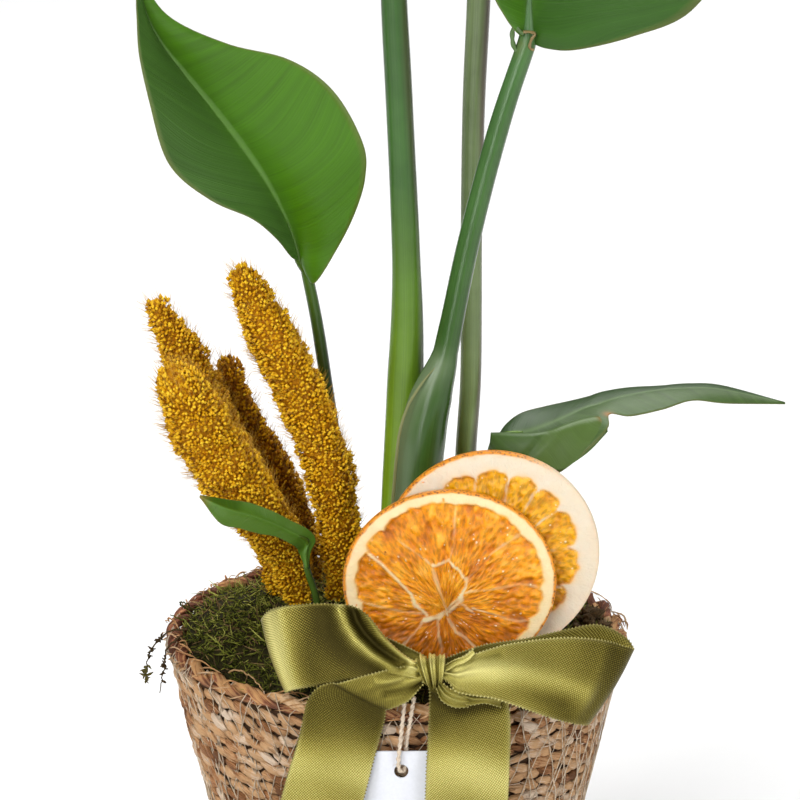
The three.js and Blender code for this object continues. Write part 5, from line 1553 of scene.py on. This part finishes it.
# Each strip's last list is painted light, read evenly along it: painted highlight where it is high, painted
# shade where it is low, as at the tails' tops under the lip.
RIBBON_STRIPS = {
    "left_loop": {
        "upper": [[9, -75.7, 135.5], [4, -75.5, 136.5], [-2.5, -73.5, 141.5], [-8.5, -71.4, 148.7],
                  [-13, -71, 151.6], [-20, -70.4, 152.3], [-32, -67.8, 150.8], [-38, -64.6, 148.4],
                  [-40.6, -61.8, 144.8], [-40.6, -58.4, 142.4], [-36, -54.6, 142.5], [-20, -56.2, 143.5],
                  [-4, -65.2, 140], [9, -73.7, 136.5]],
        "lower": [[9, -77.8, 129.5], [4, -78.6, 131], [-2.5, -78.6, 131.8], [-9, -77.6, 131.2],
                  [-13, -76.6, 130.2], [-18, -75.2, 128.7], [-27, -72.4, 126.2], [-31.4, -70, 124.4],
                  [-33.6, -68, 123], [-33.8, -64.8, 122.6], [-29.5, -57.5, 123.5], [-19, -58.2, 126.5],
                  [-4, -67.2, 128], [9, -73.2, 128.5]],
        # Lines in the front view as x and z, each with its height and its width
        "creases": [
            ([[-17.5, 155], [-17, 150.4], [-15, 146.2], [-12, 142], [-7, 137.8], [-1, 135], [5, 133]], 1.9, 2.2),
            ([[-13.6, 153], [-12.4, 147.8], [-9.8, 143.6], [-6.6, 140.4], [-2.7, 137.5], [1.5, 134.9]],
             -2.2, 1.5),
            ([[-9, 152.2], [-7.6, 148], [-5.2, 143.8], [-1.8, 140.2], [1.6, 137.2], [5, 135]], 1.3, 1.2),
            ([[-24, 153], [-21.5, 143], [-15.5, 136.5], [-7, 132.5]], -0.9, 3.5),
            ([[-37, 150], [-34, 138], [-30, 124]], 0.5, 2.2),
        ],
        "side": 1, "arch": 0.03, "gathers": (0.0, 1.0),
        "sheen": [0.34, 0.36, 0.26, 0.18, 0.14, 0.12, 0.1, 0.14, 0.6, 0.95, 0.5, *[0.25] * 6],
    },
    "right_loop": {
        "upper": [[12, -76.5, 134], [15.5, -77.2, 134.4], [18.5, -77, 135.6], [22, -76, 137.4],
                  [29, -74.5, 139.4], [36, -73, 140.6], [50, -70, 141.2], [62, -66, 139], [70.5, -62, 135.2],
                  [72.6, -58.5, 133.6], [70, -55.8, 136.5], [62, -54.6, 139.8], [52, -55.2, 138.4],
                  [40, -57.5, 136.5], [26, -64, 136.5], [12, -73, 134.5]],
        "lower": [[12, -77.5, 131.5], [15.5, -79, 130.4], [18, -80.4, 127.8], [22, -81, 126.9], [29, -81.3, 126],
                  [35, -81.3, 124], [44, -80.3, 120.2], [51.5, -78.4, 117.2], [56.6, -75.6, 115.2],
                  [58.8, -72.6, 114.2], [58.8, -69.6, 114.4], [53, -66, 116.5], [44, -66.5, 119],
                  [36, -68.5, 121.5], [26, -71.5, 124.5], [12, -74, 129.5]],
        "creases": [
            ([[14, 132], [24, 133.5], [36, 133], [48, 129], [58, 124]], 1.1, 4.0),
            ([[16, 130], [26, 129], [38, 127], [50, 123]], -0.5, 2.5),
            ([[64, 141], [61, 129], [55, 117]], 0.3, 3.0),
            ([[69, 138], [65, 127], [57, 114]], -0.6, 2.0),
            ([[15, 134], [22, 136.4], [31, 138]], -0.5, 1.2),
        ],
        "side": -1, "arch": 0.035, "gathers": (0.0, 1.0),
        "sheen": [0.46, 0.54, 0.6, 0.6, 0.54, 0.46, 0.34, 0.16, 0.14, 0.2, 0.2, 0.2, 0.25, 0.25, 0.25, 0.25],
    },
    "standing_edge": {
        "upper": [[14.6, -78.2, 135.4], [17.5, -78.8, 137.4], [20.4, -78.8, 138.6], [23, -78, 140.6]],
        "lower": [[15, -77.6, 132.6], [17.4, -77.4, 134.2], [20.4, -76.8, 135.6], [23.4, -76, 138]],
        "creases": [([[14, 134], [18.5, 136], [23, 139.6]], 0.6, 0.8)],
        "side": -1, "arch": 0.1, "gathers": (0.0,), "sheen": [0.4, 0.6, 0.7],
    },
    "left_tail": {
        "upper": [[9, -77, 135.2], [2, -78, 134.8], [-4, -78.6, 133.7], [-11, -78.4, 131.6],
                  [-16.5, -77.8, 129.7], [-18.2, -77, 128.9], [-18.8, -75.8, 128.7], [-20.4, -75, 128.4],
                  [-24, -74.6, 126.8], [-26.8, -74.3, 123], [-28, -74, 118.5], [-29, -74, 113.2],
                  [-30.6, -75, 107.5], [-32.6, -76, 101], [-36, -76.4, 88], [-42, -75, 62.5],
                  [-46, -73.9, 42.5]],
        "lower": [[9.6, -78, 130.6], [7, -79, 128.2], [4.2, -79.7, 125], [1.2, -79.8, 123.3], [-1.6, -79.2, 122],
                  [-2.8, -78, 121.3], [-3.1, -76.4, 121.3], [-3.2, -75.6, 120.4], [-3.4, -75.1, 118.5],
                  [-3.6, -74.7, 116.5], [-4.3, -74.2, 113.4], [-5.4, -74.1, 109], [-6.8, -75, 104],
                  [-8.6, -76, 97], [-11.2, -76.4, 86.5], [-17, -75, 62.5], [-22, -73.9, 36.5]],
        "creases": [
            ([[10, 132], [3, 131], [-6, 130.6]], 0.8, 1.2),
            ([[9, 129.6], [3, 127.6], [-3, 126.6]], -0.8, 1.1),
            ([[-30, 104], [-18, 101], [-8, 99]], 0.4, 5.0),
        ],
        "side": 1, "arch": 0.03, "gathers": (0.0,),
        "sheen": [0.34, 0.36, 0.36, 0.34, 0.28, 0.16, 0.02, 0.04, 0.08, 0.1, 0.16, 0.28, 0.5, 0.62, 0.55,
                  0.4, 0.4],
    },
    "right_tail": {
        "upper": [[9.5, -75.6, 129], [9.8, -75.8, 127], [10, -75.8, 125], [10, -75.8, 122.5], [10, -75.4, 120],
                  [10, -75, 117], [9.8, -74.6, 114], [9.6, -74.8, 109], [9.2, -75.6, 102], [8.9, -76.2, 92],
                  [8.3, -75.4, 70.5], [8, -73.9, 34.5]],
        "lower": [[11.5, -77.8, 129.4], [13.2, -78.6, 126.4], [17, -78.9, 124.1], [20.8, -78.4, 123.2],
                  [25.4, -77.4, 125.3], [29.9, -76.8, 126.6], [33, -76, 124.2], [34.4, -75.2, 118.5],
                  [34.6, -75, 108], [34.2, -75.8, 95], [33.4, -75.4, 70.5], [33, -73.9, 40.5]],
        "creases": [
            ([[12, 124.5], [19, 120.5], [27, 122], [31, 121.5]], -1.2, 2.2),
            ([[10, 112], [22, 109], [34, 107]], -0.4, 6.0),
            ([[10, 98], [22, 100], [34, 97]], 0.6, 7.0),
        ],
        "side": 1, "arch": 0.03, "gathers": (0.0,),
        "sheen": [0.2, 0.22, 0.24, 0.2, 0.16, 0.16, 0.24, 0.42, 0.6, 0.6, 0.42, 0.4],
    },
    "near_hood": {
        "upper": [[13.5, -78.6, 130.5], [16, -79.6, 128.6], [19, -79.8, 127.4], [22.5, -79.4, 126.6]],
        "lower": [[12.2, -79.4, 128.2], [13.6, -80.6, 125], [17.4, -80.9, 122.9], [21.6, -80.2, 122.7]],
        "creases": [([[13, 129], [16, 126.6], [21, 125]], 0.7, 1.2)],
        "side": -1, "arch": 0.12, "gathers": (0.0,), "sheen": [0.35, 0.5, 0.55, 0.35],
    },
    "far_hood": {
        "upper": [[19.6, -79.8, 128.4], [24, -79.6, 127.6], [28, -79, 127], [31, -78, 126.6]],
        "lower": [[18.6, -79.8, 126], [21.4, -80.4, 123.4], [26.6, -79.4, 123.6], [31.6, -77.6, 121.6]],
        "creases": [([[20, 126.6], [25, 125.6], [31, 124.6]], 0.5, 1.2)],
        "side": -1, "arch": 0.1, "gathers": (0.0,), "sheen": [0.3, 0.45, 0.5, 0.4],
    },
}

KNOT_MIDDLE = [10.3, -75.7, 132.6]
KNOT_RADIUS = 5
KNOT_HALF_WIDTH = 5.1


def edge_beads(line, inner, sheen):
    """Small pale beads that follow an edge line and point to the line inside it."""
    beads = even(line, int(run_along(line)[-1] / BEAD_PITCH))
    inward = unit(even(inner, len(beads)) - beads)
    sizes = np.full((len(beads), 3), BEAD_RADIUS) * [0.35, 1, 0.6]
    paths = beads[:, None] + inward[:, None] * np.array([-0.35, 0, 0.5])[:, None]
    points, faces, (bead, _, _) = tubes(paths, sizes, 5)
    # The beads take the strip's painted light, a little lighter.
    return points, faces, {"place": points, "edge": 1.0, "sheen": spread(sheen, len(beads))[bead] + 0.1}


def ribbon_strip(index, strip):
    """A strip of ribbon spans its two edge lines and bows out by a sine arch across. Its creases are ridges or
    furrows along lines in the front view, each height * exp(-(distance / width)^2); near the knot it is gathered
    into pleats, waves across it that fade with distance. Its painted light is painted highlight and painted
    shade on its tones: its own list along it, more on ridges and pleat crests, less in furrows. Small pale beads
    follow both edges. Its length is given too."""
    rows, columns = 24 + 9 * len(strip["upper"]), 33
    upper, lower = (smooth(strip[edge], rows)[:, None] for edge in ("upper", "lower"))
    across = np.linspace(0, 1, columns)
    grid = upper * (1 - across[:, None]) + lower * across[:, None]
    run = run_along(grid[:, columns // 2])[:, None]
    along, length = run / run[-1], run[-1, 0]
    outward = grid_normals(grid)
    width = np.linalg.norm(upper - lower, axis=-1)
    near = sum(np.exp(-np.abs(along - at) * length / 7) for at in strip["gathers"])
    pleats = 0.8 * np.sin(2 * np.pi * across * 2.6 + index) + 0.4 * np.sin(2 * np.pi * across * 4.3 + 2 + index)
    pleats = near * pleats
    arch = strip["arch"] * width * np.sin(np.pi * across)
    wave = 0.22 * np.sin(run / 7.5 + 2.4 * across + index)
    fade = np.sin(np.pi * np.clip(across * 5, 0, 0.5)) * np.sin(np.pi * np.clip((1 - across) * 5, 0, 0.5))
    front_view = grid[..., [0, 2]]
    fold = sum(high * bell(line_distance(front_view, line), reach) for line, high, reach in strip["creases"])
    fold = fold * (1 - ramp_between(along, 0.4, 0.46) * (len(strip["gathers"]) > 1))
    rise = pleats * fade + fold * (0.35 + 0.65 * fade) + (arch + wave) * (1 - np.clip(near, 0, 1))
    grid = grid - strip["side"] * outward * rise[..., None]
    # Painted light: the strip's list, with painted highlight on ridges and pleat crests and painted shade in
    # furrows and pleat dips.
    sheen = spread(strip["sheen"], rows)[:, None] + 0.28 * fold + 0.2 * pleats
    sheen = sheen + 0.05 * np.sin(run / 5 - 5 * across + index)
    half = outward * RIBBON_THICKNESS / 2
    place = xyz(across * RIBBON_WIDTH, run + 200 * index, 0).reshape(-1, 3)
    edge = 0.5 * (1 - ramp_between(np.minimum(across, 1 - across), 0.0, 0.045))
    values = {
        "place": np.concatenate([place, place + [30, 0, 0]]),
        "edge": np.tile(edge, 2 * rows),
        "sheen": np.tile(sheen.ravel(), 2),
    }
    cloth = (np.concatenate([grid + half, grid - half]).reshape(-1, 3), sheet_faces(rows, columns), values)
    beads = [edge_beads(grid[:, at], grid[:, inside], strip["sheen"]) for at, inside in ((0, 3), (-1, -4))]
    return [cloth, *beads], length


def knot_band():
    """The band round the knot: a ring about +X whose radius has folds that run over it like a fan, for its
    width shrinks from top to bottom: x = middle + half width * t * (0.7 + 0.3 * height over its middle)."""
    rows, sides = 56, 48
    middle = np.array(KNOT_MIDDLE)
    t = np.linspace(-1, 1, rows)
    angle = full_turn(sides)
    folds = 0.5 * np.sin(9.5 * t + 0.7 * np.cos(3 * t)) + 0.28 * np.sin(21 * t + 1) - 0.5 * bell(t + 0.1, 0.07)
    radii = (KNOT_RADIUS * (1 - 0.3 * np.abs(t) ** 4) + folds)[:, None]
    radii = radii * (1 + 0.05 * np.sin(2 * angle + 3 * t[:, None]))
    points, faces, (_, step, side) = tubes(middle + xyz(KNOT_HALF_WIDTH * t, 0, 0.3 * t), radii, sides)
    high = np.clip((points[:, 2] - middle[2]) / KNOT_RADIUS, -1, 1)
    points[:, 0] = middle[0] + (points[:, 0] - middle[0]) * (0.7 + 0.3 * high) - 0.5 * high + 0.4
    place = xyz(t[step] * 10 + 12, angle[side] * 5.2, 0)
    # Painted light: the band is lighter on its folds' crests and towards its top, darker in the folds' dips and
    # below.
    return points, faces, {"place": place, "edge": 0.0, "sheen": 0.6 + 0.32 * folds[step] + 0.12 * high}


def make_ribbon():
    """All strips of the bow and the band round its knot."""
    strips, lengths = zip(*(ribbon_strip(index, strip) for index, strip in enumerate(RIBBON_STRIPS.values())))
    ribbon = piece("ribbon_bow", [*sum(strips, []), knot_band()], ribbon_finish(), ["ribbon_bow"])


# Pot, soil and crown


def finish_hidden_pieces():
    """The pot, the soil and the rootstock under the moss keep their solids and get their own finishes."""
    dress("grow_pot", plain_finish("pot_plastic", (0.012, 0.011, 0.01), (0.03, 0.028, 0.026), 400.0, 0.45, 0.03))
    dress("soil", plain_finish("potting_soil", (0.012, 0.008, 0.005), (0.07, 0.045, 0.028), 350.0, 0.95, 1.2))
    dress("root_crown", plain_finish("root_flesh", (0.25, 0.17, 0.08), (0.5, 0.4, 0.23), 180.0, 0.7, 0.4))


set_camera()
make_twine()
set_studio()
make_basket_wall()
make_basket_stitching()
make_basket_rim()
make_moss()
for stem_name, stem_sizes in STEMS.items():
    make_stem(stem_name, stem_sizes, BLADES[stem_name.replace("stem", "leaf")]["sections"])
for leaf_name, leaf in BLADES.items():
    make_leaf(leaf_name, **leaf)
golden = millet_finish()
for head_name, head_sizes in MILLET.items():
    make_millet(head_name, golden, **head_sizes)
for slice_name, slice_sizes in SLICES.items():
    make_slice(slice_name, slice_sizes)
make_ribbon()
finish_hidden_pieces()
